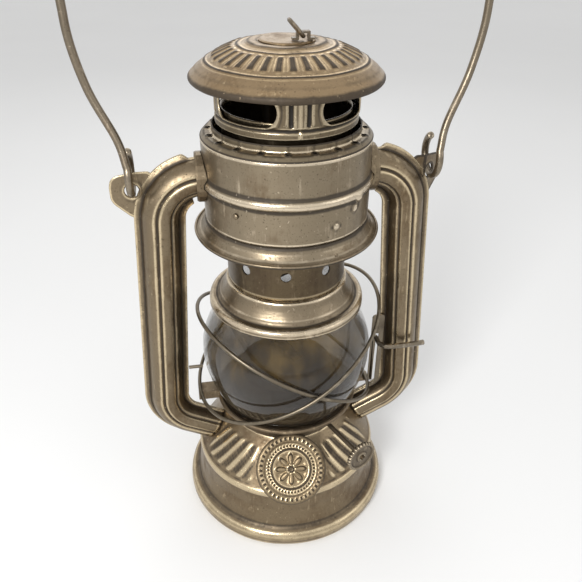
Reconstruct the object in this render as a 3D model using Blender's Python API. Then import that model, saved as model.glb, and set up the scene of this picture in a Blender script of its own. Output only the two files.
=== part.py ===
"""Small tubular hurricane lantern of tinned sheet steel, built as separate pieces.

The origin is at the centre of the base, +Z is up, -Y is the front with the filler cap, and the two
side tubes stand in the XZ plane. All sizes are in metres and come from the values below.
"""
import math

import bmesh
import bpy
import numpy as np
from mathutils import Matrix, Vector

MM = 0.001

# Shared values
GAP = 0.3 * MM
FIT = 0.1 * MM
OVERRUN = 6.0 * MM
SHEET = 0.8 * MM
SEGMENTS = 28
FINE_SEGMENTS = 20

# Fount, the fuel tank
BASE_RADIUS = 56.0 * MM
BASE_BEAD_HEIGHT = 11.5 * MM
BASE_GROOVE_RADIUS = 51.0 * MM
RIDGE_RADIUS = 49.4 * MM
RIDGE_HEIGHT = 32.0 * MM
DOME_TOP_RADIUS = 30.5 * MM
DOME_TOP_HEIGHT = 55.8 * MM
DOME_SWELL = 0.6 * MM
COLLAR_RADIUS = 17.0 * MM
COLLAR_DEPTH = 5.0 * MM
PAN_LIFT = 1.6 * MM
PAN_FOOT = 2.4 * MM

# Filler neck and cap, set square to the dome's slope
FILLER_AZIMUTH = math.radians(-96.5)
NECK_RADIUS = 11.0 * MM
NECK_RISE = 3.0 * MM
NECK_FLANGE = 1.5 * MM
GASKET_THICKNESS = 1.0 * MM
CAP_RADIUS = 18.0 * MM
CAP_SKIRT_RADIUS = 14.4 * MM
CAP_SKIRT_GAP = 1.2 * MM
CAP_RIM = 1.6 * MM

# Air box and burner in the middle; heights are counted up from the dome's top edge
AIR_BOX_RADIUS = 31.5 * MM
AIR_BOX_RISE = 9.1 * MM
AIR_BOX_TOP = DOME_TOP_HEIGHT + AIR_BOX_RISE
AIR_BOX_LIP = 2.0 * MM
BURNER_PLATE_RADIUS = 30.2 * MM
HOUSING_RADIUS = 13.3 * MM
BURNER_FLANGE = 4.0 * MM
CONE_RADIUS = 29.6 * MM
CONE_RISE = 27.1 * MM
CONE_TOP = AIR_BOX_TOP + CONE_RISE
CONE_SLOT_LENGTH = 22.0 * MM
CONE_SLOT_WIDTH = 6.0 * MM
WICK_WIDTH = 15.0 * MM
WICK_THICKNESS = 2.0 * MM
WICK_BOTTOM = 16.0 * MM
WICK_TUBE_RISE = 18.1 * MM
WICK_TUBE_TOP = AIR_BOX_TOP + WICK_TUBE_RISE
WICK_SHOWN = 3.0 * MM
SHAFT_AZIMUTH = math.radians(-66.0)
SHAFT_RISE = 4.4 * MM
SHAFT_HEIGHT = DOME_TOP_HEIGHT + SHAFT_RISE
SHAFT_RADIUS = 1.2 * MM
WHEEL_RADIUS = 3.2 * MM
WHEEL_TOOTH = 0.7 * MM
WHEEL_THICKNESS = 1.0 * MM
WHEEL_SPACING = 8.0 * MM
WHEEL_TEETH = 10
KNOB_RADIUS = 8.3 * MM
KNOB_REACH = 60.0 * MM
KNOB_THICKNESS = 2.6 * MM
KNOB_RIM = 1.8 * MM
KNOB_HUB = 2.6 * MM

# Globe, its carrier and its wire guard
GLOBE_BELLY = 43.4 * MM
GLOBE_FOOT_RADIUS = 34.6 * MM
GLOBE_NECK_RADIUS = 34.2 * MM
GLOBE_RISE = 63.8 * MM
GLOBE_SEAT_HEIGHT = AIR_BOX_TOP + GLOBE_RISE
GLOBE_MIDDLE_SHARE = 0.46
GLASS = 1.8 * MM
GALLERY_RADIUS = 37.6 * MM
GALLERY_HOLE = 31.0 * MM
GALLERY_BEAD = 1.2 * MM
GUARD_WIRE = 0.95 * MM
INNER_HOOP_MIDDLE = 29.4 * MM
INNER_HOOP_FOOT = 2.7 * MM
INNER_HOOP_TILT_SHARE = -0.09
OUTER_HOOP_MIDDLE = 33.1 * MM
OUTER_HOOP_FOOT = 7.3 * MM
OUTER_HOOP_TILT_SHARE = 0.15
HOOP_STEPS = 48
LUG_HALF = 4.0 * MM
LIFT_TRAVEL = 10.0 * MM

# Plate on top of the globe; heights are counted up from its seat
GLOBE_PLATE_RADIUS = 38.1 * MM
GLOBE_PLATE_DROP = 3.9 * MM
GLOBE_PLATE_EDGE = GLOBE_SEAT_HEIGHT - GLOBE_PLATE_DROP
GLOBE_PLATE_RISE = 10.3 * MM
GLOBE_PLATE_TOP = GLOBE_SEAT_HEIGHT + GLOBE_PLATE_RISE

# Air chamber at the top, with its perforated plate and flared skirt
CHIMNEY_SHOWN = 26.4 * MM
FLARE_HEIGHT = GLOBE_PLATE_TOP + CHIMNEY_SHOWN
FLARE_RADIUS = 42.8 * MM
FLARE_DEPTH = 6.4 * MM
DRUM_BOTTOM = FLARE_HEIGHT + FLARE_DEPTH
CHAMBER_RADIUS = 37.4 * MM
CHAMBER_DEPTH = 38.6 * MM
CHAMBER_TOP = DRUM_BOTTOM + CHAMBER_DEPTH
CHAMBER_MOUTH = 31.5 * MM
CHAMBER_LIP = 3.2 * MM
SHOULDER = 1.8 * MM
BEAD_RISE_ON_DRUM = 18.2 * MM
BEAD_HEIGHT = DRUM_BOTTOM + BEAD_RISE_ON_DRUM
BEAD_RISE = 1.6 * MM
BEAD_HALF = 3.0 * MM
AIR_HOLES = 20
AIR_HOLE_RADIUS = 1.1 * MM
AIR_HOLE_CIRCLE = 33.9 * MM

# Chimney that slides in the air chamber, with the hood on its top
CHIMNEY_RADIUS = 28.3 * MM
CHIMNEY_OVER_CHAMBER = 10.6 * MM
CHIMNEY_TOP = CHAMBER_TOP + CHIMNEY_OVER_CHAMBER
VENT_HOLE_RISE = 12.8 * MM
VENT_HOLE_HEIGHT = GLOBE_PLATE_TOP + VENT_HOLE_RISE
VENT_HOLE_RADIUS = 2.4 * MM
VENT_HOLES = 9
VENT_HOLE_START = math.radians(-100.2)
VENT_COLLAR_RADIUS = 30.6 * MM
VENT_COLLAR_LIFT = 4.6 * MM
VENT_COLLAR_BOTTOM = CHAMBER_TOP + VENT_COLLAR_LIFT
WINDOW_HALF_ANGLE = math.radians(28.0)
WINDOW_RADIUS = 6.0 * MM
WINDOW_RISE = 10.4 * MM
WINDOW_HEIGHT = VENT_COLLAR_BOTTOM + WINDOW_RISE
HOOD_RADIUS = 40.6 * MM
HOOD_RIM_RISE = 18.0 * MM
HOOD_RIM_HEIGHT = VENT_COLLAR_BOTTOM + HOOD_RIM_RISE
HOOD_DEPTH = 12.8 * MM
HOOD_TOP = HOOD_RIM_HEIGHT + HOOD_DEPTH
HOOD_ROLL = 1.4 * MM
CROWN_RADIUS = 11.5 * MM
STAPLE_PLACE = (5.5 * MM, -5.5 * MM)
STAPLE_SPAN = 1.9 * MM
STAPLE_FOOT = 1.8 * MM
STAPLE_WIDTH = 3.0 * MM
RING_RADIUS = 4.1 * MM
RING_WIRE = 0.9 * MM
RING_LEAN = math.radians(-42.0)

# Side tubes and the ears for the bail
TUBE_RADIUS = 8.4 * MM
TUBE_FLANGE = 3.0 * MM
TUBE_GROOVE_PLACE = 1.6 * MM
TUBE_GROOVE_DEPTH = 1.3 * MM
TUBE_TOP_RISE = 18.8 * MM
TUBE_TOP_HEIGHT = DRUM_BOTTOM + TUBE_TOP_RISE
TUBE_TOP_BEND = 19.5 * MM
TUBE_FOOT_BEND = 20.0 * MM
TUBE_UPPER_OFFSET = 57.6 * MM
TUBE_LOWER_OFFSET = 64.4 * MM
TUBE_FOOT_RISE = 12.7 * MM
TUBE_FOOT_HEIGHT = DOME_TOP_HEIGHT + TUBE_FOOT_RISE
TUBE_FOOT_SLOPE = math.radians(28.0)
TUBE_FOOT_FLANGE = 1.5 * MM
TUBE_STUB = 0.5 * MM
TUBE_COLLAR_OUT = 3.0 * MM
TUBE_COLLAR_WALL = 1.6 * MM
EAR_REACH = 77.6 * MM
EAR_RISE = 3.9 * MM
EAR_TOP = TUBE_TOP_HEIGHT + EAR_RISE
EAR_DEPTH = 21.1 * MM
EAR_HOLE_OFFSET = 68.2 * MM
EAR_HOLE_DROP = 4.4 * MM
EAR_HOLE_HEIGHT = TUBE_TOP_HEIGHT - EAR_HOLE_DROP
EAR_HOLE_RADIUS = 3.1 * MM
EAR_FOLD_OFFSET = 64.6 * MM
EAR_FOLD = math.radians(38.0)

# Bail
BAIL_WIRE = 1.7 * MM
BAIL_EYE_RADIUS = 9.0 * MM
BAIL_BULGE = 16.0 * MM
BAIL_RISE = 104.0 * MM

# Lift lever and its slotted bracket on the right tube; heights are counted up from the air box's top
LEVER_WIRE = 1.4 * MM
LEVER_HALF_SWING = math.radians(35.0)
LEVER_PIVOT_DROP = 2.1 * MM
LEVER_PIVOT_HEIGHT = AIR_BOX_TOP - LEVER_PIVOT_DROP
LEVER_FINGER = 3.8 * MM
LEVER_HANDLE_RISE = 30.9 * MM
LEVER_HANDLE_FRONT = 11.6 * MM
LEVER_HANDLE_REACH = 72.5 * MM
BRACKET_WIDTH = 6.6 * MM
BRACKET_RISE = 43.0 * MM
BRACKET_FOOT = 5.3 * MM
BRACKET_CHAMFER = 3.0 * MM
BRACKET_SLOT_OVER = 2.2 * MM
PEG_RISE = 20.1 * MM
PEG_RADIUS = 0.9 * MM
PEG_LENGTH = 7.3 * MM


def material(name, colour, metallic, roughness, alpha=1.0):
    """One Principled material; colour is linear RGB."""
    made = bpy.data.materials.new(name)
    made.use_nodes = True
    shader = made.node_tree.nodes["Principled BSDF"]
    shader.inputs["Base Color"].default_value = (*colour, 1.0)
    shader.inputs["Metallic"].default_value = metallic
    shader.inputs["Roughness"].default_value = roughness
    shader.inputs["Alpha"].default_value = alpha
    made.diffuse_color = (*colour, alpha)
    return made


def tin(name, shade=1.0):
    """Dull brown-grey tinned steel."""
    return material(name, (0.21 * shade, 0.175 * shade, 0.135 * shade), 1.0, 0.4)


def place(name, bm, finish, smooth_angle=40.0):
    """Turn a bmesh into a named object with outward faces; a piece without a finish is a helper."""
    bmesh.ops.recalc_face_normals(bm, faces=bm.faces[:])
    mesh = bpy.data.meshes.new(name)
    bm.to_mesh(mesh)
    bm.free()
    made = bpy.data.objects.new(name, mesh)
    bpy.context.scene.collection.objects.link(made)
    if finish is None:
        made.hide_render = True
        made.display_type = "WIRE"
    else:
        mesh.materials.append(finish)
        mesh.shade_smooth()
        mesh.set_sharp_from_angle(angle=math.radians(smooth_angle))
    return made


def turned(name, outline, finish=None, segments=SEGMENTS, matrix=None):
    """Spin a closed outline of (radius, height) points about Z; points on the axis are welded."""
    bm = bmesh.new()
    verts = [bm.verts.new((radius, 0.0, height)) for radius, height in outline]
    pairs = [(i, (i + 1) % len(verts)) for i in range(len(verts))]
    edges = [bm.edges.new((verts[i], verts[j])) for i, j in pairs if outline[i][0] + outline[j][0] > 0.0]
    bmesh.ops.spin(bm, geom=verts + edges, cent=(0.0, 0.0, 0.0), axis=(0.0, 0.0, 1.0), angle=math.tau,
                   steps=segments, use_merge=True)
    bmesh.ops.remove_doubles(bm, verts=bm.verts[:], dist=FIT / 100.0)
    if matrix is not None:
        bmesh.ops.transform(bm, matrix=matrix, verts=bm.verts[:])
    return place(name, bm, finish)


def walled(path, wall):
    """Close an open outline by following it back at one wall's distance on its right-hand side."""
    points = [np.array(point) for point in path]
    inner = []
    for i, point in enumerate(points):
        before = points[i] - points[i - 1] if i > 0 else points[1] - points[0]
        after = points[i + 1] - points[i] if i < len(points) - 1 else before
        before = before / np.linalg.norm(before)
        after = after / np.linalg.norm(after)
        normal = np.array([(before + after)[1], -(before + after)[0]])
        normal = normal / np.linalg.norm(normal)
        square = np.array([before[1], -before[0]])
        inner.append(point + normal * wall / max(float(normal @ square), 0.5))
    return [tuple(point) for point in points] + [tuple(point) for point in reversed(inner)]


def wire(name, points, radius, finish, closed=False, resolution=1):
    """A round wire along a list of points, as a bevelled curve with filled ends."""
    curve = bpy.data.curves.new(name, "CURVE")
    curve.dimensions = "3D"
    curve.bevel_depth = radius
    curve.bevel_resolution = resolution
    curve.use_fill_caps = not closed
    spline = curve.splines.new("POLY")
    spline.points.add(len(points) - 1)
    for target, point in zip(spline.points, points):
        target.co = (*point, 1.0)
    spline.use_cyclic_u = closed
    made = bpy.data.objects.new(name, curve)
    bpy.context.scene.collection.objects.link(made)
    curve.materials.append(finish)
    return made


def smooth_path(corners, steps):
    """Points of a smooth curve through a few corners."""
    knots = [np.array(corner, dtype=float) for corner in corners]
    knots = [2 * knots[0] - knots[1]] + knots + [2 * knots[-1] - knots[-2]]
    path = []
    for i in range(1, len(knots) - 2):
        a, b, c, d = knots[i - 1:i + 3]
        for step in range(steps):
            t = step / steps
            path.append(0.5 * (2 * b + (c - a) * t + (2 * a - 5 * b + 4 * c - d) * t * t
                               + (3 * b - a - 3 * c + d) * t ** 3))
    path.append(knots[-2])
    return [Vector(point) for point in path]


def block(name, low, high, finish=None, matrix=None):
    """A box between two corners."""
    bm = bmesh.new()
    bmesh.ops.create_cube(bm, size=1.0)
    size = Vector(high) - Vector(low)
    middle = (Vector(high) + Vector(low)) / 2.0
    bmesh.ops.transform(bm, matrix=Matrix.Translation(middle) @ Matrix.Diagonal((*size, 1.0)),
                        verts=bm.verts[:])
    if matrix is not None:
        bmesh.ops.transform(bm, matrix=matrix, verts=bm.verts[:])
    return place(name, bm, finish)


def rod(name, radius, start, end, finish=None, segments=FINE_SEGMENTS):
    """A round bar between two points."""
    start, end = Vector(start), Vector(end)
    bm = bmesh.new()
    bmesh.ops.create_cone(bm, cap_ends=True, segments=segments, radius1=radius, radius2=radius,
                          depth=(end - start).length)
    turn = (end - start).to_track_quat("Z", "Y").to_matrix().to_4x4()
    bmesh.ops.transform(bm, matrix=Matrix.Translation((start + end) / 2.0) @ turn, verts=bm.verts[:])
    return place(name, bm, finish)


def sheet(name, outline, front, back, finish=None):
    """A flat plate in the XZ plane from an outline of (x, z), between two y values."""
    bm = bmesh.new()
    face = bm.faces.new([bm.verts.new((x, front, z)) for x, z in outline])
    pushed = bmesh.ops.extrude_face_region(bm, geom=[face])
    moved = [item for item in pushed["geom"] if isinstance(item, bmesh.types.BMVert)]
    bmesh.ops.translate(bm, vec=(0.0, back - front, 0.0), verts=moved)
    return place(name, bm, finish)


def combine(target, other, operation):
    """Boolean with the exact solver; the other object becomes a hidden helper."""
    change = target.modifiers.new(other.name, "BOOLEAN")
    change.operation = operation
    change.solver = "EXACT"
    change.object = other
    other.hide_render = True
    other.display_type = "WIRE"
    return target


def cut(target, cutter):
    return combine(target, cutter, "DIFFERENCE")


def join(target, other):
    return combine(target, other, "UNION")


def polar(radius, azimuth, height):
    return Vector((radius * math.cos(azimuth), radius * math.sin(azimuth), height))


def dome_line(offset=0.0):
    """Outer line of the fount's dome from its top edge to the ridge, moved out by an offset."""
    middle_radius = (DOME_TOP_RADIUS + RIDGE_RADIUS) / 2.0 + DOME_SWELL
    middle_height = (DOME_TOP_HEIGHT + RIDGE_HEIGHT) / 2.0 + DOME_SWELL
    line = [(DOME_TOP_RADIUS, DOME_TOP_HEIGHT), (middle_radius, middle_height), (RIDGE_RADIUS, RIDGE_HEIGHT)]
    fall = math.hypot(RIDGE_RADIUS - DOME_TOP_RADIUS, DOME_TOP_HEIGHT - RIDGE_HEIGHT)
    out = offset * (DOME_TOP_HEIGHT - RIDGE_HEIGHT) / fall
    up = offset * (RIDGE_RADIUS - DOME_TOP_RADIUS) / fall
    return [(radius + out, height + up) for radius, height in line]


def dome_space(offset):
    """Closed outline of everything under the dome grown by an offset, used to trim what stands on it."""
    line = dome_line(offset)
    return [(0.0, line[0][1])] + line + [(line[-1][0], 0.0), (0.0, 0.0)]


def make_fount():
    """Tank shell open at the bottom, the pan that closes it, and the burner's collar."""
    bead_shares = [(0.0, 1.0), (0.24, 0.88), (0.7, 0.78), (0.95, 0.62), (1.0, 0.45), (0.93, 0.2), (0.62, 0.0)]
    bead = [(BASE_GROOVE_RADIUS + (BASE_RADIUS - BASE_GROOVE_RADIUS) * out, BASE_BEAD_HEIGHT * up)
            for out, up in bead_shares]
    side = [(RIDGE_RADIUS - GAP, RIDGE_HEIGHT - PAN_FOOT)]
    path = [(COLLAR_RADIUS + SHEET, DOME_TOP_HEIGHT)] + dome_line() + side + bead
    shell = turned("fount_shell", walled(path, SHEET), tin("fount_shell"))
    frame = filler_frame()
    cut(shell, rod("filler_mouth_cutter", NECK_RADIUS - SHEET, frame @ Vector((0.0, 0.0, -OVERRUN)),
                   frame @ Vector((0.0, 0.0, OVERRUN))))

    pan_radius = bead[-1][0] - SHEET - GAP
    pan = [(0.0, PAN_LIFT + SHEET), (pan_radius - PAN_FOOT, PAN_LIFT + SHEET), (pan_radius, SHEET),
            (pan_radius, 0.0), (pan_radius - SHEET, 0.0), (pan_radius - PAN_FOOT - SHEET, PAN_LIFT),
            (0.0, PAN_LIFT)]
    turned("fount_bottom", pan, tin("fount_bottom", 0.8))

    inner = COLLAR_RADIUS - SHEET
    outer = COLLAR_RADIUS + SHEET - GAP
    seat = DOME_TOP_HEIGHT + GAP
    low = DOME_TOP_HEIGHT - COLLAR_DEPTH
    brim = outer + PAN_FOOT
    collar = [(inner, seat + SHEET), (brim, seat + SHEET), (brim, seat), (outer, seat), (outer, low), (inner, low)]
    turned("burner_collar", collar, tin("burner_collar", 0.9))


def filler_frame():
    """Matrix whose Z axis leaves the middle of the dome's slope squarely."""
    top, middle, low = dome_line()
    along = Vector((top[0] - low[0], 0.0, top[1] - low[1])).normalized()
    outward = Vector((along.z, 0.0, -along.x))
    frame = Matrix((along, outward.cross(along), outward)).transposed().to_4x4()
    frame.translation = Vector((middle[0], 0.0, middle[1]))
    return Matrix.Rotation(FILLER_AZIMUTH, 4, "Z") @ frame


def make_filler():
    """Filler neck on the dome, and the cap with its gasket."""
    frame = filler_frame()
    flange_radius = NECK_RADIUS + NECK_FLANGE
    root = -NECK_RISE
    neck = [(NECK_RADIUS - SHEET, NECK_RISE), (NECK_RADIUS, NECK_RISE), (NECK_RADIUS, SHEET),
            (flange_radius, SHEET), (flange_radius, root), (NECK_RADIUS - SHEET, root)]
    made = turned("filler_neck", neck, tin("filler_neck"), segments=FINE_SEGMENTS, matrix=frame)
    cut(made, turned("neck_trim_cutter", dome_space(GAP)))

    rest = NECK_RISE + GAP
    gasket_radius = CAP_SKIRT_RADIUS - SHEET - GAP
    gasket = [(0.0, rest + GASKET_THICKNESS), (gasket_radius, rest + GASKET_THICKNESS), (gasket_radius, rest),
              (0.0, rest)]
    turned("cap_gasket", gasket, material("cap_gasket", (0.05, 0.035, 0.025), 0.0, 0.8),
           segments=FINE_SEGMENTS, matrix=frame)

    under = rest + GASKET_THICKNESS + GAP
    top = under + SHEET
    rim_top = top + CAP_RIM / 2.0
    cap = [(0.0, top), (CAP_SKIRT_RADIUS - CAP_RIM, top), (CAP_SKIRT_RADIUS, rim_top),
            (CAP_RADIUS - SHEET, rim_top), (CAP_RADIUS, rim_top - CAP_RIM / 2.0),
            (CAP_RADIUS - SHEET, rim_top - CAP_RIM),
           (CAP_SKIRT_RADIUS, under - SHEET), (CAP_SKIRT_RADIUS, CAP_SKIRT_GAP),
           (CAP_SKIRT_RADIUS - SHEET, CAP_SKIRT_GAP), (CAP_SKIRT_RADIUS - SHEET, under), (0.0, under)]
    turned("filler_cap", cap, tin("filler_cap", 1.1), segments=SEGMENTS, matrix=frame)


def burner_turn():
    """Rotation that lays local X along the wick shaft."""
    return Matrix.Rotation(SHAFT_AZIMUTH, 4, "Z")


def shaft_line(start, end):
    """Two points on the wick shaft's axis, at distances measured along it from the middle."""
    offset = WHEEL_RADIUS + GAP + WICK_THICKNESS / 2.0
    return [burner_turn() @ Vector((reach, offset, SHAFT_HEIGHT)) for reach in (start, end)]


def make_air_box():
    """Low drum on the dome that holds the burner plate and carries the globe's gallery."""
    foot = DOME_TOP_HEIGHT + GAP
    path = [(AIR_BOX_RADIUS - AIR_BOX_LIP - SHEET, AIR_BOX_TOP), (AIR_BOX_RADIUS, AIR_BOX_TOP),
            (AIR_BOX_RADIUS, foot)]
    box = turned("air_chamber", walled(path, SHEET), tin("air_chamber", 0.55))
    cut(box, rod("air_box_shaft_cutter", SHAFT_RADIUS + GAP,
                 *shaft_line(AIR_BOX_RADIUS - OVERRUN, AIR_BOX_RADIUS + OVERRUN)))


def make_burner():
    """Burner body with its wide plate, the cone over it, the wick tube and the wick."""
    plate = AIR_BOX_TOP + GAP
    flange = DOME_TOP_HEIGHT + GAP + SHEET + GAP
    sleeve = COLLAR_RADIUS - SHEET - GAP
    low = DOME_TOP_HEIGHT - COLLAR_DEPTH
    inner = HOUSING_RADIUS - SHEET
    body = [(0.0, plate + SHEET), (BURNER_PLATE_RADIUS, plate + SHEET), (BURNER_PLATE_RADIUS, plate),
            (HOUSING_RADIUS, plate), (HOUSING_RADIUS, flange + SHEET), (sleeve + BURNER_FLANGE, flange + SHEET),
            (sleeve + BURNER_FLANGE, flange), (sleeve, flange), (sleeve, low), (sleeve - SHEET, low),
            (sleeve - SHEET, flange), (inner, flange), (inner, plate), (0.0, plate)]
    body = turned("burner_body", body, material("burner_body", (0.16, 0.12, 0.075), 1.0, 0.45))
    tube_half = (WICK_WIDTH / 2.0 + GAP + SHEET, WICK_THICKNESS / 2.0 + GAP + SHEET)
    turn = burner_turn()
    cut(body, block("wick_way_cutter", (-tube_half[0] - GAP, -tube_half[1] - GAP, plate - OVERRUN / 2.0),
                    (tube_half[0] + GAP, tube_half[1] + GAP, plate + OVERRUN), matrix=turn))
    cut(body, rod("housing_shaft_cutter", SHAFT_RADIUS + FIT,
                  *shaft_line(-HOUSING_RADIUS - OVERRUN, CONE_RADIUS)))

    wheel_top = SHAFT_HEIGHT + WHEEL_RADIUS + GAP
    tube = block("wick_tube", (-tube_half[0], -tube_half[1], flange),
                 (tube_half[0], tube_half[1], WICK_TUBE_TOP), material("wick_tube", (0.2, 0.15, 0.08), 1.0, 0.4),
                 matrix=turn)
    cut(tube, block("wick_tube_cutter", (-tube_half[0] + SHEET, -tube_half[1] + SHEET, flange - OVERRUN),
                    (tube_half[0] - SHEET, tube_half[1] - SHEET, WICK_TUBE_TOP + OVERRUN), matrix=turn))
    wheel_room = WHEEL_SPACING / 2.0 + WHEEL_THICKNESS + GAP
    cut(tube, block("wheel_window_cutter", (-wheel_room, 0.0, flange - OVERRUN),
                    (wheel_room, tube_half[1] + OVERRUN, wheel_top), matrix=turn))

    cone_shares = [(0.3, 0.985), (0.6, 0.85), (0.83, 0.6), (0.95, 0.3), (0.97, 0.06), (1.0, 0.03)]
    foot = plate + SHEET + GAP
    rise = CONE_TOP - foot
    path = [(CONE_RADIUS * out, foot + rise * up) for out, up in cone_shares]
    path = [(0.0, CONE_TOP)] + path
    under = [(max(radius - SHEET, 0.0), height - SHEET) for radius, height in path]
    cone = turned("burner_cone", path + under[::-1], material("burner_cone", (0.035, 0.03, 0.025), 1.0, 0.5))
    cut(cone, block("cone_slot_cutter", (-CONE_SLOT_LENGTH / 2.0, -CONE_SLOT_WIDTH / 2.0, CONE_TOP - OVERRUN),
                    (CONE_SLOT_LENGTH / 2.0, CONE_SLOT_WIDTH / 2.0, CONE_TOP + OVERRUN), matrix=turn))

    block("wick", (-WICK_WIDTH / 2.0, -WICK_THICKNESS / 2.0, WICK_BOTTOM),
          (WICK_WIDTH / 2.0, WICK_THICKNESS / 2.0, WICK_TUBE_TOP + WICK_SHOWN),
          material("wick", (0.55, 0.48, 0.36), 0.0, 0.9), matrix=turn)


def make_wick_raiser():
    """Shaft with its knob and the two toothed wheels that climb the wick; origins on the axis."""
    steel = material("wick_shaft", (0.3, 0.27, 0.22), 1.0, 0.35)
    start, end = shaft_line(-HOUSING_RADIUS - SHEET, KNOB_REACH + KNOB_THICKNESS)
    rod("wick_shaft", SHAFT_RADIUS, start, end, steel, segments=12)
    turn = burner_turn() @ Matrix.Rotation(math.radians(90.0), 4, "Y")
    for share, name in ((-0.5, "inner"), (0.5, "outer")):
        middle = shaft_line(WHEEL_SPACING * share, 0.0)[0]
        bm = bmesh.new()
        rim = []
        for i in range(2 * WHEEL_TEETH):
            radius = WHEEL_RADIUS - (WHEEL_TOOTH if i % 2 else 0.0)
            angle = math.tau * (i + 0.5) / (2 * WHEEL_TEETH)
            rim.append(bm.verts.new(polar(radius, angle, -WHEEL_THICKNESS / 2.0)))
        face = bm.faces.new(rim)
        pushed = bmesh.ops.extrude_face_region(bm, geom=[face])
        moved = [item for item in pushed["geom"] if isinstance(item, bmesh.types.BMVert)]
        bmesh.ops.translate(bm, vec=(0.0, 0.0, WHEEL_THICKNESS), verts=moved)
        bmesh.ops.transform(bm, matrix=Matrix.Translation(middle) @ turn, verts=bm.verts[:])
        wheel = place("wick_wheel_" + name, bm, tin("wick_wheel_" + name, 1.2))
        cut(wheel, rod("wheel_bore_cutter_" + name, SHAFT_RADIUS + FIT,
                       *shaft_line(WHEEL_SPACING * share - OVERRUN, WHEEL_SPACING * share + OVERRUN), segments=12))
    bore = SHAFT_RADIUS + FIT
    half = KNOB_THICKNESS / 2.0
    rim_shares = [(1.0, SHEET / KNOB_THICKNESS), (0.8, 1.0), (0.2, 1.0), (0.0, 0.0)]
    front = [(bore, half), (KNOB_HUB, half), (KNOB_HUB + SHEET, SHEET / 2.0)]
    front += [(KNOB_RADIUS - KNOB_RIM * inward, half * out) for inward, out in rim_shares]
    knob = front + [(radius, -depth) for radius, depth in front[-2::-1]]
    centre = shaft_line(KNOB_REACH, 0.0)[0]
    turned("wick_knob", knob, tin("wick_knob", 0.9), segments=FINE_SEGMENTS,
           matrix=Matrix.Translation(centre) @ turn)


def rods(name, radius, pairs, segments=10):
    """Several round bars as one helper."""
    bm = bmesh.new()
    for start, end in pairs:
        start, end = Vector(start), Vector(end)
        turn = (end - start).to_track_quat("Z", "Y").to_matrix().to_4x4()
        middle = Matrix.Translation((start + end) / 2.0)
        bmesh.ops.create_cone(bm, cap_ends=True, segments=segments, radius1=radius, radius2=radius,
                              depth=(end - start).length, matrix=middle @ turn)
    return place(name, bm, None)


def guard_radius(side):
    """Hoop +1 lies next to the globe and is low on the right, hoop -1 crosses outside it."""
    inner = GLOBE_BELLY + GAP + GUARD_WIRE
    return inner if side > 0 else inner + 2.0 * GUARD_WIRE + GAP


def guard_height(side, x, y):
    """Height of a hoop's plane, which falls to its own side and tilts a little to the front or back."""
    if side > 0:
        middle, foot, tilt = INNER_HOOP_MIDDLE, INNER_HOOP_FOOT, INNER_HOOP_TILT_SHARE
    else:
        middle, foot, tilt = OUTER_HOOP_MIDDLE, OUTER_HOOP_FOOT, OUTER_HOOP_TILT_SHARE
    fall = (middle - foot) / guard_radius(side)
    return AIR_BOX_TOP + middle - side * fall * x + tilt * y


def guard_point(side, angle):
    """Point of a tilted guard hoop."""
    x = guard_radius(side) * math.cos(angle)
    y = guard_radius(side) * math.sin(angle)
    return Vector((x, y, guard_height(side, x, y)))


def lug_top(side):
    """Height just under the lowest part of a hoop over its lug."""
    x = side * guard_radius(side)
    return min(guard_height(side, x, y) for y in (-LUG_HALF, LUG_HALF)) - GUARD_WIRE - GAP


def make_gallery():
    """Ring that the globe stands on, with lugs for the guard hoops and a foot for the lift lever."""
    low = AIR_BOX_TOP + GAP
    bead_radius = GALLERY_RADIUS - GALLERY_BEAD
    bead_height = low + SHEET / 2.0
    bead = [(bead_radius + GALLERY_BEAD * math.cos(turn), bead_height + GALLERY_BEAD * math.sin(turn))
            for turn in (math.radians(135.0 - 45.0 * step) for step in range(7))]
    ring = [(GALLERY_HOLE, low + SHEET), (bead_radius - GALLERY_BEAD, low + SHEET)] + bead
    ring += [(bead_radius - GALLERY_BEAD, low), (GALLERY_HOLE, low)]
    gallery = turned("gallery_ring", ring, tin("gallery_ring", 1.1))
    for side, name in ((-1.0, "left"), (1.0, "right")):
        near, far = sorted((side * (GALLERY_RADIUS - GALLERY_BEAD), side * (guard_radius(side) + GUARD_WIRE)))
        join(gallery, block("guard_lug_" + name, (near, -LUG_HALF, low + FIT),
                            (far, LUG_HALF, lug_top(side))))

    depth, finger = finger_place()
    foot = finger + LEVER_WIRE + GAP
    reach = cheek_place() - LEVER_WIRE - GAP
    near = reach - LEVER_FINGER + GAP
    join(gallery, block("lift_post", (near, LUG_HALF - SHEET, foot + FIT),
                        (reach - FIT, LUG_HALF - FIT, low + SHEET)))
    join(gallery, block("lift_foot", (near - FIT, LUG_HALF - SHEET - FIT, foot),
                        (reach, depth + 2.0 * LEVER_WIRE, foot + SHEET)))


def make_globe():
    """Pear-shaped glass globe standing on the gallery."""
    foot = AIR_BOX_TOP + GAP + SHEET + GAP
    top = GLOBE_SEAT_HEIGHT - SHEET - GAP
    belly_shares = [(0.0, 1.0), (0.14, 0.86), (0.4, 0.64), (0.76, 0.42), (0.95, 0.25), (1.0, 0.1),
                    (1.0, -0.05), (0.93, -0.25), (0.72, -0.5), (0.4, -0.75), (0.1, -0.92), (0.0, -1.0)]
    middle = foot + (top - foot) * GLOBE_MIDDLE_SHARE
    path = []
    for out, up in belly_shares:
        end = GLOBE_NECK_RADIUS if up > 0 else GLOBE_FOOT_RADIUS
        height = middle + up * (top - middle if up > 0 else middle - foot)
        path.append((end + (GLOBE_BELLY - end) * out, height))
    turned("globe", walled(path, GLASS), material("globe", (0.75, 0.68, 0.52), 0.0, 0.05, 0.35))


def make_guard():
    """Two wire hoops that cross in front of and behind the globe."""
    for side, name in ((1.0, "guard_hoop_inner"), (-1.0, "guard_hoop_outer")):
        points = [guard_point(side, math.tau * i / HOOP_STEPS) for i in range(HOOP_STEPS)]
        wire(name, points, GUARD_WIRE, tin(name), closed=True)


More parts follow.
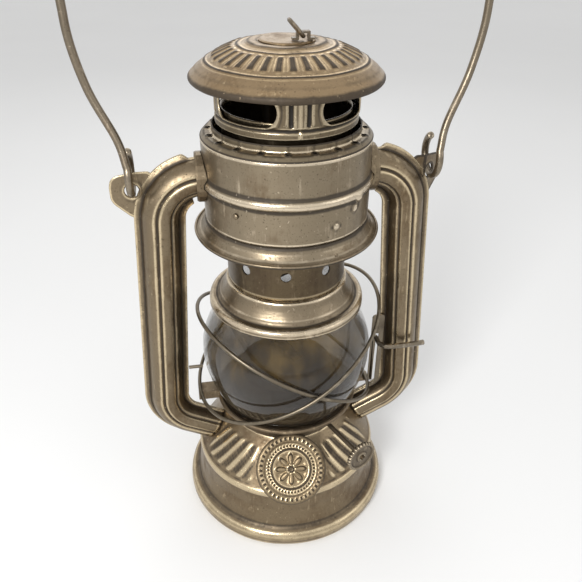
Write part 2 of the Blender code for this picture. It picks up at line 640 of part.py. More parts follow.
def make_chimney():
    """Inner tube with its ring of vents, and the dished plate on top of the globe."""
    path = [(CHIMNEY_RADIUS, CHIMNEY_TOP), (CHIMNEY_RADIUS, GLOBE_PLATE_TOP + GAP)]
    tube = turned("chimney_tube", walled(path, SHEET), tin("chimney_tube", 0.8))
    angles = [VENT_HOLE_START + math.tau * i / VENT_HOLES for i in range(VENT_HOLES)]
    cut(tube, rods("vent_hole_cutter", VENT_HOLE_RADIUS,
                   [(polar(CHIMNEY_RADIUS - OVERRUN, angle, VENT_HOLE_HEIGHT),
                     polar(CHIMNEY_RADIUS + OVERRUN, angle, VENT_HOLE_HEIGHT)) for angle in angles]))

    rise = GLOBE_PLATE_TOP - GLOBE_SEAT_HEIGHT
    reach = GLOBE_PLATE_RADIUS - CHIMNEY_RADIUS
    dish_shares = [(0.0, 1.0), (0.1, 0.92), (0.34, 0.36), (0.46, 0.22), (0.52, 0.0), (0.8, 0.0)]
    path = [(CHIMNEY_RADIUS - SHEET, GLOBE_PLATE_TOP)]
    path += [(CHIMNEY_RADIUS + reach * out, GLOBE_SEAT_HEIGHT + rise * up) for out, up in dish_shares]
    path += [(GLOBE_PLATE_RADIUS, GLOBE_SEAT_HEIGHT - GLOBE_PLATE_DROP / 2.0),
             (GLOBE_PLATE_RADIUS, GLOBE_PLATE_EDGE)]
    turned("globe_plate", walled(path, SHEET), tin("globe_plate"))


def hood_line():
    """Top line of the hood from its centre to where the rolled rim starts."""
    hood_shares = [(0.0, 0.0), (0.414, 0.0), (0.535, 0.094), (0.62, 0.203), (0.713, 0.328), (0.796, 0.461),
                   (0.871, 0.594), (0.927, 0.719), (0.962, 0.84)]
    return [(HOOD_RADIUS * out, HOOD_TOP - HOOD_DEPTH * down) for out, down in hood_shares]


def make_hood():
    """Vent collar with four oval windows, the hood on it, and its crown disc."""
    top = walled(hood_line(), SHEET)
    half = len(top) // 2
    under = top[half:][::-1]
    radii, heights = zip(*under)
    inner = float(np.interp(VENT_COLLAR_RADIUS, radii, heights))
    path = [(VENT_COLLAR_RADIUS, inner - GAP), (VENT_COLLAR_RADIUS, VENT_COLLAR_BOTTOM),
            (CHIMNEY_RADIUS + GAP, VENT_COLLAR_BOTTOM)]
    collar = turned("vent_collar", walled(path, SHEET), tin("vent_collar", 0.9))
    bm = bmesh.new()
    for i in range(4):
        middle = math.radians(-45.0 + 90.0 * i)
        outline = []
        for end in (-1.0, 1.0):
            across = end * (WINDOW_HALF_ANGLE - WINDOW_RADIUS / VENT_COLLAR_RADIUS)
            for step in range(7):
                turn = math.pi * (0.5 + step / 6.0) + (0.0 if end < 0 else math.pi)
                outline.append((middle + across + WINDOW_RADIUS * math.cos(turn) / VENT_COLLAR_RADIUS,
                                WINDOW_HEIGHT + WINDOW_RADIUS * math.sin(turn)))
        near, far = [[bm.verts.new(polar(VENT_COLLAR_RADIUS + side * 2.0 * SHEET, angle, height))
                      for angle, height in outline] for side in (-1.0, 1.0)]
        caps = [bm.faces.new(near), bm.faces.new(far[::-1])]
        for j, vert in enumerate(near):
            k = (j + 1) % len(near)
            bm.faces.new((vert, far[j], far[k], near[k]))
        bmesh.ops.triangulate(bm, faces=caps)
    cut(collar, place("window_cutter", bm, None))

    centre = (HOOD_RADIUS - HOOD_ROLL, HOOD_RIM_HEIGHT)
    roll = [(centre[0] + HOOD_ROLL * math.cos(turn), centre[1] + HOOD_ROLL * math.sin(turn))
            for turn in (math.radians(50.0 - 44.0 * step) for step in range(6))]
    turned("hood", top[:half] + roll + top[half:], tin("hood"))

    seat = HOOD_TOP + GAP
    crown = [(0.0, seat + SHEET), (CROWN_RADIUS - SHEET, seat + SHEET), (CROWN_RADIUS, seat + SHEET / 2.0),
             (CROWN_RADIUS, seat), (0.0, seat)]
    turned("hood_crown", crown, tin("hood_crown", 1.1))


def make_ring():
    """Small lifting ring under its staple on the crown."""
    base = HOOD_TOP + GAP + SHEET + GAP
    x, y = STAPLE_PLACE
    room = 2.0 * (RING_WIRE + GAP)
    outer = STAPLE_SPAN + SHEET
    outline = [(-outer - STAPLE_FOOT, 0.0), (-STAPLE_SPAN, 0.0), (-STAPLE_SPAN, room), (STAPLE_SPAN, room),
               (STAPLE_SPAN, 0.0), (outer + STAPLE_FOOT, 0.0), (outer + STAPLE_FOOT, SHEET), (outer, SHEET),
               (outer, room + SHEET), (-outer, room + SHEET), (-outer, SHEET), (-outer - STAPLE_FOOT, SHEET)]
    sheet("ring_staple", [(x + across, base + up) for across, up in outline], y - STAPLE_WIDTH / 2.0,
          y + STAPLE_WIDTH / 2.0, tin("ring_staple"))
    hinge = Vector((x, y, base + RING_WIRE + GAP))
    lean = Vector((math.sin(RING_LEAN), 0.0, math.cos(RING_LEAN)))
    along = Vector((0.0, 1.0, 0.0))
    points = [hinge + lean * RING_RADIUS * (1.0 - math.cos(turn)) + along * RING_RADIUS * math.sin(turn)
              for turn in (math.tau * i / 24 for i in range(24))]
    wire("lifting_ring", points, RING_WIRE, tin("lifting_ring", 1.2), closed=True)


def drum_line():
    """Outer line of the air chamber's drum from its top edge down, with the rolled bead."""
    top = CHAMBER_TOP - SHOULDER - SHEET
    return [(CHAMBER_RADIUS, top), (CHAMBER_RADIUS, BEAD_HEIGHT + BEAD_HALF),
            (CHAMBER_RADIUS + BEAD_RISE, BEAD_HEIGHT + BEAD_HALF / 3.0),
            (CHAMBER_RADIUS + BEAD_RISE, BEAD_HEIGHT - BEAD_HALF / 3.0),
            (CHAMBER_RADIUS, BEAD_HEIGHT - BEAD_HALF), (CHAMBER_RADIUS, DRUM_BOTTOM)]


def make_chamber():
    """Air chamber: perforated top plate with a lip, drum with a bead, and flared skirt with its floor."""
    lip = CHAMBER_MOUTH + SHEET
    path = [(lip, CHAMBER_TOP + CHAMBER_LIP), (lip, CHAMBER_TOP), (CHAMBER_RADIUS - SHOULDER, CHAMBER_TOP),
            (CHAMBER_RADIUS, CHAMBER_TOP - SHOULDER)]
    plate = turned("chamber_top", walled(path, SHEET), tin("chamber_top"))
    angles = [math.tau * (i + 0.5) / AIR_HOLES for i in range(AIR_HOLES)]
    cut(plate, rods("air_hole_cutter", AIR_HOLE_RADIUS,
                    [(polar(AIR_HOLE_CIRCLE, angle, CHAMBER_TOP - OVERRUN),
                      polar(AIR_HOLE_CIRCLE, angle, CHAMBER_TOP + OVERRUN)) for angle in angles], segments=8))

    drum = turned("chamber_drum", walled(drum_line(), SHEET), tin("chamber_drum"))
    hole = TUBE_RADIUS + TUBE_STUB + 2.0 * GAP
    reach = CHAMBER_RADIUS + OVERRUN
    ends = [(side * CHAMBER_RADIUS / 2.0, side * reach) for side in (-1.0, 1.0)]
    cut(drum, rods("tube_hole_cutter", hole,
                   [((near, 0.0, TUBE_TOP_HEIGHT), (far, 0.0, TUBE_TOP_HEIGHT)) for near, far in ends],
                   segments=SEGMENTS))

    floor = DRUM_BOTTOM - GAP
    drop = floor - FLARE_HEIGHT
    flare = FLARE_RADIUS - CHAMBER_RADIUS
    flare_shares = [(0.0, 0.1), (0.12, 0.45), (0.45, 0.8), (1.0, 1.0)]
    path = [(CHIMNEY_RADIUS + 2.0 * GAP, floor), (CHAMBER_RADIUS - SHEET, floor)]
    path += [(CHAMBER_RADIUS + flare * out, floor - drop * down) for out, down in flare_shares]
    turned("chamber_skirt", walled(path, SHEET), tin("chamber_skirt", 0.95))


def tube_stations():
    """Axis point, outward normal and the two flange widths along the right-hand tube, from drum to dome."""
    upper = np.array((TUBE_UPPER_OFFSET - TUBE_TOP_BEND, TUBE_TOP_HEIGHT - TUBE_TOP_BEND))
    lower = np.array((TUBE_LOWER_OFFSET - TUBE_FOOT_BEND, TUBE_FOOT_HEIGHT))
    between = lower - upper
    lean = (math.acos((TUBE_TOP_BEND - TUBE_FOOT_BEND) / float(np.linalg.norm(between)))
            + math.atan2(between[1], between[0]))
    made = []

    def add(centre, bend, turn, outer, inner):
        normal = np.array((math.cos(turn), math.sin(turn)))
        made.append((centre + normal * bend, normal, (outer, inner)))

    add(np.array((CHAMBER_RADIUS - 2.0 * SHEET, TUBE_TOP_HEIGHT)), 0.0, math.pi / 2.0, TUBE_STUB, TUBE_STUB)
    for turn in (90.0, 80.0):
        add(upper, TUBE_TOP_BEND, math.radians(turn), TUBE_STUB, TUBE_STUB)
    for turn in (76.0, 66.0):
        add(upper, TUBE_TOP_BEND, math.radians(turn), TUBE_FLANGE, TUBE_STUB)
    start = math.radians(62.0)
    for i in range(6):
        add(upper, TUBE_TOP_BEND, start + (lean - start) * i / 5.0, TUBE_FLANGE, TUBE_FLANGE)
    end = TUBE_FOOT_SLOPE - math.pi / 2.0
    for i in range(7):
        share = i / 6.0
        width = TUBE_FLANGE + (TUBE_FOOT_FLANGE - TUBE_FLANGE) * share
        add(lower, TUBE_FOOT_BEND, lean + (end - lean) * share, width, width)
    point, normal, widths = made[-1]
    along = np.array((normal[1], -normal[0]))
    made.append((point + along * (point[0] - DOME_TOP_RADIUS) / math.cos(TUBE_FOOT_SLOPE), normal, widths))
    return made


def tube_inner_edge(height):
    """Offset of the tube's inner flange edge at a height on its straight run."""
    straight = [station for station in tube_stations() if station[2] == (TUBE_FLANGE, TUBE_FLANGE)]
    ends = [point - normal * (TUBE_RADIUS + TUBE_FLANGE) for point, normal, _ in straight[-2:]]
    share = (height - ends[0][1]) / (ends[1][1] - ends[0][1])
    return ends[0][0] + (ends[1][0] - ends[0][0]) * share


def tube_section(widths):
    """Outer and inner points of the front half of a tube, with a flange on each side and a crease."""
    seam = GAP / 2.0
    crease = math.degrees(math.acos(TUBE_GROOVE_PLACE / TUBE_RADIUS))
    turns = [15.0, 35.0, 55.0, crease - 9.0, crease, crease + 9.0, 112.0, 138.0, 164.0]
    out, back = TUBE_RADIUS + widths[0], TUBE_RADIUS + widths[1]
    outer = [(out, seam + SHEET), (TUBE_RADIUS, seam + SHEET)]
    inner = [(out, seam), (TUBE_RADIUS - SHEET, seam)]
    for turn in turns:
        radius = TUBE_RADIUS - (TUBE_GROOVE_DEPTH if turn == crease else 0.0)
        across, depth = math.cos(math.radians(turn)), math.sin(math.radians(turn))
        outer.append((radius * across, radius * depth))
        inner.append(((radius - SHEET) * across, (radius - SHEET) * depth))
    outer += [(-TUBE_RADIUS, seam + SHEET), (-back, seam + SHEET)]
    inner += [(-TUBE_RADIUS + SHEET, seam), (-back, seam)]
    return outer, inner


def tube_half(name, side, face, finish):
    """Half of a side tube; side is -1 left or +1 right, face is -1 front or +1 back."""
    bm = bmesh.new()
    rings = []
    for point, normal, widths in tube_stations():
        outer, inner = tube_section(widths)
        rings.append([bm.verts.new((side * (point[0] + normal[0] * across), face * depth,
                                    point[1] + normal[1] * across)) for across, depth in outer + inner[::-1]])
    count = len(rings[0])
    for first, second in zip(rings, rings[1:]):
        for i in range(count):
            j = (i + 1) % count
            bm.faces.new((first[i], first[j], second[j], second[i]))
    for ring in (rings[0], rings[-1]):
        for i in range(count // 2 - 1):
            bm.faces.new((ring[i], ring[i + 1], ring[count - 2 - i], ring[count - 1 - i]))
    return place(name, bm, finish)


def ear(name, side, fold):
    """Plate on the outer seam that the bail hooks into; the fold bends its outer part to the back."""
    seam = GAP / 2.0 + FIT / 2.0
    centre = (TUBE_UPPER_OFFSET - TUBE_TOP_BEND, TUBE_TOP_HEIGHT - TUBE_TOP_BEND)
    root = TUBE_TOP_BEND + TUBE_RADIUS + TUBE_FLANGE / 2.0
    outline = []
    for step in range(7):
        turn = math.radians(4.0 + 7.0 * step)
        outline.append((centre[0] + root * math.cos(turn), centre[1] + root * math.sin(turn)))
    reach = EAR_REACH - EAR_FOLD_OFFSET
    ear_shares = [(-0.35, 0.0), (0.1, 0.0), (0.75, 0.06), (0.94, 0.14), (1.0, 0.28), (1.0, 0.56),
                  (0.9, 0.68), (0.4, 0.97)]
    outline += [(EAR_FOLD_OFFSET + reach * out, EAR_TOP - EAR_DEPTH * down) for out, down in ear_shares]
    bm = bmesh.new()
    verts = [bm.verts.new((x, -seam - SHEET + FIT, z)) for x, z in outline]
    bm.faces.new(verts)
    place_fold = Vector((EAR_FOLD_OFFSET, 0.0, 0.0))
    pushed = bmesh.ops.extrude_face_region(bm, geom=bm.faces[:])
    moved = [item for item in pushed["geom"] if isinstance(item, bmesh.types.BMVert)]
    bmesh.ops.translate(bm, vec=(0.0, SHEET - FIT, 0.0), verts=moved)
    if fold > 0.0:
        bmesh.ops.bisect_plane(bm, geom=bm.verts[:] + bm.edges[:] + bm.faces[:], plane_co=place_fold,
                               plane_no=(1.0, 0.0, 0.0))
        for vert in bm.verts:
            across = vert.co.x - EAR_FOLD_OFFSET
            if across > FIT / 10.0:
                depth = vert.co.y
                vert.co.x = EAR_FOLD_OFFSET + across * math.cos(fold) - depth * math.sin(fold)
                vert.co.y = across * math.sin(fold) + depth * math.cos(fold)
    bmesh.ops.triangulate(bm, faces=[face for face in bm.faces if len(face.verts) > 4])
    if side < 0.0:
        bmesh.ops.scale(bm, vec=(-1.0, 1.0, 1.0), verts=bm.verts[:])
    return place(name, bm, None)


def torus(name, radius, thickness, centre):
    """Ring in the YZ plane, used to clear the way of the bail's eye."""
    bm = bmesh.new()
    rings = []
    for i in range(32):
        turn = math.tau * i / 32
        ring = []
        for j in range(12):
            roll = math.tau * j / 12
            out = radius + thickness * math.cos(roll)
            around = Vector((thickness * math.sin(roll), out * math.sin(turn), out * math.cos(turn)))
            ring.append(bm.verts.new(Vector(centre) + around))
        rings.append(ring)
    for i, ring in enumerate(rings):
        after = rings[(i + 1) % len(rings)]
        for j, vert in enumerate(ring):
            k = (j + 1) % len(ring)
            bm.faces.new((vert, ring[k], after[k], after[j]))
    return place(name, bm, None)


def make_tubes():
    """Two side tubes of two pressed halves each, the ears on them and the collars at the drum."""
    dome_cutter = turned("tube_foot_cutter", dome_space(GAP))
    eye_height = EAR_HOLE_HEIGHT + BAIL_EYE_RADIUS
    for side, name in ((-1.0, "left"), (1.0, "right")):
        for face, half in ((-1.0, "front"), (1.0, "back")):
            label = "tube_%s_%s" % (name, half)
            made = tube_half(label, side, face, tin(label, 1.0 if face < 0 else 0.9))
            cut(made, dome_cutter)
            if face < 0:
                join(made, ear("ear_" + name, side, EAR_FOLD if side > 0 else 0.0))
                cut(made, torus("ear_hole_cutter_" + name, BAIL_EYE_RADIUS, EAR_HOLE_RADIUS,
                                (side * EAR_HOLE_OFFSET, 0.0, eye_height)))
            elif side > 0:
                low = EAR_TOP - EAR_DEPTH - 2.0 * GAP
                cut(made, block("seam_notch_cutter", (EAR_FOLD_OFFSET - GAP, 0.0, low),
                                (EAR_FOLD_OFFSET + OVERRUN, OVERRUN, EAR_HOLE_HEIGHT)))

    drum = [(radius + GAP, height) for radius, height in drum_line()]
    drum_cutter = turned("collar_trim_cutter", [(0.0, drum[0][1])] + drum + [(0.0, drum[-1][1])])
    inner = TUBE_RADIUS + TUBE_STUB + 2.0 * GAP
    for side, name in ((-1.0, "left"), (1.0, "right")):
        near, far = CHAMBER_RADIUS - OVERRUN, CHAMBER_RADIUS + TUBE_COLLAR_OUT
        outer = inner + TUBE_COLLAR_WALL
        outline = [(inner, far), (outer - SHEET / 2.0, far), (outer, far - SHEET), (outer, near), (inner, near)]
        turn = Matrix.Translation((0.0, 0.0, TUBE_TOP_HEIGHT)) @ Matrix.Rotation(side * math.pi / 2.0, 4, "Y")
        label = "tube_collar_" + name
        cut(turned(label, outline, tin(label, 1.15), segments=24, matrix=turn), drum_cutter)


def bracket_back():
    """Depth of the bracket's rear face, which lies on the front of the tube's flange."""
    return -(GAP / 2.0 + SHEET + GAP)


def pivot_depth():
    """Depth of the lever's axis, just behind the bracket."""
    return bracket_back() + SHEET / 2.0 + GAP + LEVER_WIRE


def bracket_left():
    """Offset of the bracket's left edge, clear of the guard hoop beside it."""
    return guard_radius(1.0) + GUARD_WIRE + 2.0 * GAP


def cheek_place():
    """Offset of the crank's cheek, left of the pivot tab at the bracket's left edge."""
    return bracket_left() - GAP - LEVER_WIRE


def arm_place():
    """Offset of the lever's arm, right of the pivot tab."""
    return bracket_left() + SHEET + GAP + LEVER_WIRE


def finger_place():
    """Depth and height of the lift finger at rest, from the lever's pivot, travel and swing."""
    reach = LIFT_TRAVEL / 2.0 / math.sin(LEVER_HALF_SWING)
    return pivot_depth() + reach * math.cos(LEVER_HALF_SWING), LEVER_PIVOT_HEIGHT - LIFT_TRAVEL / 2.0


def make_lift():
    """Slotted bracket on the right tube's seam, the crank lever in it, and the guide peg on the left."""
    back = bracket_back()
    front = back - SHEET
    left, right = bracket_left(), bracket_left() + BRACKET_WIDTH
    top, bottom = AIR_BOX_TOP + BRACKET_RISE, AIR_BOX_TOP - BRACKET_FOOT
    corner_shares = [(0.0, 1.0), (0.3, 0.3), (1.0, 0.0)]
    corner = 2.0 * SHEET
    round_top = [(left + corner * out, top - corner * down) for out, down in corner_shares]
    round_top += [(left + right - x, z) for x, z in round_top[::-1]]
    outline = [(left, bottom)] + round_top
    outline += [(right, bottom + BRACKET_CHAMFER), (right - BRACKET_CHAMFER, bottom)]
    plate = sheet("lift_bracket", outline, front, back, tin("lift_bracket", 1.05))
    arm = arm_place()
    handle = LEVER_PIVOT_HEIGHT + LEVER_HANDLE_RISE
    slot_half = LEVER_WIRE + GAP
    cut(plate, block("slot_cutter", (arm - slot_half, front - OVERRUN, LEVER_PIVOT_HEIGHT - slot_half),
                     (arm + slot_half, back + OVERRUN, handle + BRACKET_SLOT_OVER)))
    tab = LEVER_WIRE + GAP + SHEET + GAP
    axis = (left + SHEET / 2.0, pivot_depth(), LEVER_PIVOT_HEIGHT)
    join(plate, block("pivot_tab", (left + FIT, back - FIT, axis[2] - tab),
                      (left + SHEET - FIT, axis[1] + tab, axis[2] + tab)))
    cut(plate, rod("pivot_cutter", LEVER_WIRE + GAP, (left - OVERRUN, axis[1], axis[2]),
                   (left + SHEET + GAP, axis[1], axis[2])))

    cheek = cheek_place()
    depth, low = finger_place()
    corners = [(cheek - LEVER_FINGER, depth, low), (cheek, depth, low), (cheek, axis[1], axis[2]),
               (arm, axis[1], axis[2]), (arm, axis[1], handle - LEVER_WIRE)]
    handle_shares = [(0.0, 0.25), (0.0, 0.7), (0.1, 0.95), (0.25, 1.0), (0.6, 1.0), (0.85, 0.98), (1.0, 0.95)]
    out, forward = LEVER_HANDLE_REACH - arm, LEVER_HANDLE_FRONT + axis[1]
    corners += [(arm + out * across, axis[1] - forward * share, handle) for across, share in handle_shares]
    wire("lift_lever", [Vector(corner) for corner in corners], LEVER_WIRE, tin("lift_lever", 1.1))

    height = AIR_BOX_TOP + PEG_RISE
    outer = tube_inner_edge(height) - GAP
    rod("guide_peg", PEG_RADIUS, (PEG_LENGTH - outer, 0.0, height), (-outer, 0.0, height), tin("guide_peg"),
        segments=10)


def bail_axis_height():
    """Height of the bail's hinge axis; the hook rests near the lower edge of the ear's hole."""
    return EAR_HOLE_HEIGHT + BAIL_EYE_RADIUS - (EAR_HOLE_RADIUS - BAIL_WIRE - GAP)


def make_bail():
    """Wire handle with an open hook at each end, upright at rest; its axis runs through both hooks."""
    centre = bail_axis_height()
    hook = []
    for step in range(19):
        turn = math.radians(330.0 - 15.0 * step)
        hook.append((EAR_HOLE_OFFSET, -BAIL_EYE_RADIUS * math.sin(turn),
                     centre + BAIL_EYE_RADIUS * math.cos(turn)))
    root = hook[-1]
    wide = EAR_HOLE_OFFSET + BAIL_BULGE
    arch_share, arch_rise_share = 0.62, 0.97
    leg_shares = [(0.18, 0.6, 0.12), (0.75, 0.1, 0.33), (1.0, 0.0, 0.58), (0.75, 0.0, 0.83)]
    rise = centre + BAIL_RISE - root[2]
    leg = [root]
    leg += [(EAR_HOLE_OFFSET + BAIL_BULGE * out, root[1] * depth, root[2] + rise * up)
            for out, depth, up in leg_shares]
    shoulder = Vector((wide * arch_share, 0.0, root[2] + rise * arch_rise_share))
    leg += [shoulder, (0.0, 0.0, root[2] + rise), (-shoulder.x, 0.0, shoulder.z)]
    path = smooth_path(leg, 4)
    half = [Vector(point) for point in hook[:-1]] + [point for point in path if point.x > FIT]
    mirrored = [Vector((-point.x, point.y, point.z)) for point in reversed(half)]
    wire("bail", half + [Vector((0.0, 0.0, root[2] + rise))] + mirrored, BAIL_WIRE, tin("bail", 1.1))


def clear_scene():
    for item in list(bpy.data.objects):
        bpy.data.objects.remove(item, do_unlink=True)


def main():
    clear_scene()
    make_fount()
    make_filler()
    make_air_box()
    make_burner()
    make_wick_raiser()
    make_gallery()
    make_globe()
    make_guard()
    make_chimney()
    make_hood()
    make_ring()
    make_chamber()
    make_tubes()
    make_lift()
    make_bail()


main()
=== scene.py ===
import math

import bpy
import numpy as np
from mathutils import Matrix, Vector


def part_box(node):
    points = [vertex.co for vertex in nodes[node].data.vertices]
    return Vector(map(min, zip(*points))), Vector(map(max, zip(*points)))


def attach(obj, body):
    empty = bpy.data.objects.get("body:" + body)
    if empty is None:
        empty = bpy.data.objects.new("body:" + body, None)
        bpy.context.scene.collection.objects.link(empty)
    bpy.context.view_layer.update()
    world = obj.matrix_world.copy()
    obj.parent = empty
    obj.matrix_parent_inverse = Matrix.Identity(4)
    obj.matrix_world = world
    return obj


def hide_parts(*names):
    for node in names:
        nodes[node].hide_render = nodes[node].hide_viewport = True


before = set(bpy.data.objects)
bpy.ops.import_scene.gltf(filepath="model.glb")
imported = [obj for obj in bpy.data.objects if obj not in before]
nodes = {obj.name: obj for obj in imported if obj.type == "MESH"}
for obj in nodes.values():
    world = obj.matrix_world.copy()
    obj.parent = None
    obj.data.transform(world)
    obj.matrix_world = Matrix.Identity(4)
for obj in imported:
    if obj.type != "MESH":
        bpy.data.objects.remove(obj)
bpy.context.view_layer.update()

# Small tubular hurricane lantern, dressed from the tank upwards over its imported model.
# Metres; the origin is the middle of the base, +Z is up, -Y is the front with the filler cap.
mm = 0.001

# Fount: the fuel tank, one shell spun and pressed from thin tinned sheet steel, with a rolled foot
# bead, a pinched waist and a crisp ridge under its dome. Flutes are pressed into the dome beside the
# filler. Its tinning is stained brown, darkened in the hollows by grime and painted shade, and bright on
# every ridge from wear and a painted highlight.


def rounded(line, reach):
    """Line with curved corners: (1-t)^2 start + 2t(1-t) corner + t^2 end, a reach or half a leg away."""
    line = np.asarray(line, float)
    legs = np.diff(line, axis=0)
    size = np.maximum(np.linalg.norm(legs, axis=1, keepdims=True), 1e-9)
    start = line[1:-1] - legs[:-1] / size[:-1] * np.minimum(reach, size[:-1] / 2.0)
    end = line[1:-1] + legs[1:] / size[1:] * np.minimum(reach, size[1:] / 2.0)
    t = np.linspace(0.0, 1.0, 9)[None, :, None]
    curves = (1 - t) ** 2 * start[:, None] + 2 * t * (1 - t) * line[1:-1, None] + t ** 2 * end[:, None]
    return np.concatenate((line[:1], curves.reshape(-1, line.shape[1]), line[-1:]))


def spaced(line, step):
    """Points about a step apart along a line, read off at even running lengths."""
    run = np.concatenate(((0.0,), np.cumsum(np.linalg.norm(np.diff(line, axis=0), axis=1))))
    spots = np.linspace(0.0, run[-1], max(int(round(run[-1] / step)), 2) + 1)
    return np.stack([np.interp(spots, run, line[:, i]) for i in range(line.shape[1])], axis=1)


def ridge_of(points, reach):
    """How far each point stands over the mean of its neighbours along both grid directions, -1 to 1."""
    square = np.cross(np.gradient(points, axis=0), np.gradient(points, axis=1))
    square /= np.maximum(np.linalg.norm(square, axis=2, keepdims=True), 1e-12)
    around = sum(np.roll(points, shift, axis) for shift in (-reach, reach) for axis in (0, 1)) / 4.0
    return np.clip(np.sum((points - around) * square, axis=2) / (0.16 * mm), -1.0, 1.0)


def skin(name, grids, finish, reach=2, rows_meet=True):
    """One mesh over grids of points: each cell between neighbours is a face. Columns close on
    themselves, and so do rows unless their ends are pinched shut. Doubled points are merged, which
    closes the poles, and a grid whose signed volume is negative is turned over to face outwards.
    """
    places, faces, ridges, first = [], [], [], 0
    for points in grids:
        ahead, beside = np.roll(points, -1, 0), np.roll(points, -1, 1)
        if np.sum(points * np.cross(ahead, beside)) < 0.0:
            points = points[:, ::-1]
        rows, columns = points.shape[:2]
        index = first + np.arange(rows * columns).reshape(rows, columns)
        down, over = np.roll(index, -1, 0), np.roll(index, -1, 1)
        cells = np.stack((index, down, np.roll(down, -1, 1), over), axis=2)
        faces.append(cells[:rows if rows_meet else rows - 1].reshape(-1, 4))
        places.append(points.reshape(-1, 3))
        ridges.append(ridge_of(points, reach).ravel())
        first += rows * columns
    mesh = bpy.data.meshes.new(name)
    mesh.from_pydata(np.concatenate(places).tolist(), [], np.concatenate(faces).tolist())
    mesh.attributes.new("ridge", "FLOAT", "POINT").data.foreach_set("value", np.concatenate(ridges))
    mesh.update()
    made = bpy.data.objects.new(name, mesh)
    bpy.context.scene.collection.objects.link(made)
    merge = made.modifiers.new("merge", "WELD")
    merge.merge_threshold = 0.002 * mm
    mesh.shade_smooth()
    mesh.materials.append(finish)
    return made


def spun(name, line, wall, finish, columns=224, relief=None, step=0.7 * mm, move=None):
    """Sheet turned about Z: radius and height follow the line, the back lies a wall to its right, and
    relief(turn, radius, height) lifts both along the square of the line. A matrix may move it all.
    """
    front = spaced(rounded(line, wall), step)
    along = np.gradient(front, axis=0)
    away = np.stack((-along[:, 1], along[:, 0]), axis=1)
    away /= np.maximum(np.linalg.norm(away, axis=1, keepdims=True), 1e-12)
    back = front - away * wall
    keep = np.unique(np.concatenate((np.arange(0, len(front), 3), (len(front) - 1,))))[::-1]
    ring = np.concatenate((front, back[keep]))
    lifted = np.concatenate((away, away[keep]))
    seen = np.concatenate((front, front[keep]))
    turn = np.linspace(0.0, math.tau, columns, endpoint=False)[None]
    rise = 0.0 if relief is None else relief(turn, seen[:, :1], seen[:, 1:])
    radius = np.maximum(ring[:, :1] + lifted[:, :1] * rise + 0.0 * turn, 0.0)
    height = ring[:, 1:] + lifted[:, 1:] * rise + 0.0 * turn
    points = np.stack((radius * np.cos(turn), radius * np.sin(turn), height), axis=2)
    if move is not None:
        points = points @ np.array(move.to_3x3()).T + np.array(move.translation)
    return skin(name, [points], finish)


def bump_at(value, middle, half, edge):
    """Flat-topped hill: 1 within half of the middle, falling smoothly to 0 over the edge beyond it."""
    fall = np.clip((half + edge - np.abs(value - middle)) / edge, 0.0, 1.0)
    return fall * fall * (3.0 - 2.0 * fall)


class Value:
    """One node socket; arithmetic on it adds Math nodes, and add() makes any other node."""

    def __init__(self, tree, socket):
        self.tree = tree
        self.socket = socket

    def add(self, kind, settings, inputs, output=0):
        """A node of a kind: its settings first, then the values or links of its sockets."""
        node = self.tree.nodes.new(kind)
        for key, setting in settings.items():
            setattr(node, key, setting)
        for key, given in inputs.items():
            socket = node.inputs[key]
            if isinstance(given, Value):
                self.tree.links.new(given.socket, socket)
            elif socket.type == "RGBA" and len(given) == 3:
                socket.default_value = (*given, 1.0)
            else:
                socket.default_value = given
        return Value(self.tree, node.outputs[output])

    def maths(self, operation, *values):
        """A Math node of an operation on these values."""
        return self.add("ShaderNodeMath", {"operation": operation}, dict(enumerate(values)))

    def __add__(self, other):
        return self.maths("ADD", self, other)

    def __sub__(self, other):
        return self.maths("SUBTRACT", self, other)

    def __rsub__(self, other):
        return self.maths("SUBTRACT", other, self)

    def __mul__(self, other):
        return self.maths("MULTIPLY", self, other)

    __radd__ = __add__
    __rmul__ = __mul__

    def hypot(self, other):
        """Square root of this value squared plus another squared."""
        return self.maths("SQRT", self * self + other * other)

    def rise(self, low, high):
        """0 at low and 1 at high with a smooth slope between; falls where high is the smaller."""
        return self.add("ShaderNodeMapRange", {"interpolation_type": "SMOOTHSTEP"},
                        {"Value": self, "From Min": low, "From Max": high})

    def tint(self, low, high):
        """Colour that goes from low to high as this value goes from 0 to 1."""
        return self.add("ShaderNodeMix", {"data_type": "RGBA"}, {0: self, 6: low, 7: high}, 2)

    def noise(self, scale, detail, stretch=(1.0, 1.0, 1.0)):
        """Cloud noise read at this place, with its axes stretched first."""
        place = self.add("ShaderNodeMapping", {}, {"Vector": self, "Scale": stretch})
        return self.add("ShaderNodeTexNoise", {}, {"Vector": place, "Scale": scale, "Detail": detail,
                                                   "Roughness": 0.6})

    def part(self, axis):
        """X, Y or Z of a vector."""
        return self.add("ShaderNodeSeparateXYZ", {}, {"Vector": self}, axis)

    def bumpy(self, height, strength, distance):
        """Normal of a surface bumped by a height."""
        return self.add("ShaderNodeBump", {}, {"Strength": strength, "Distance": distance, "Height": height})

    def into(self, shader, socket):
        """Link this value to a socket of a shader."""
        self.tree.links.new(self.socket, shader.inputs[socket])


def new_finish(name):
    """Fresh Principled material, its shader and its Object coordinates."""
    made = bpy.data.materials.new(name)
    made.use_nodes = True
    tree = made.node_tree
    place = Value(tree, tree.nodes.new("ShaderNodeTexCoord").outputs["Object"])
    return made, tree.nodes["Principled BSDF"], place


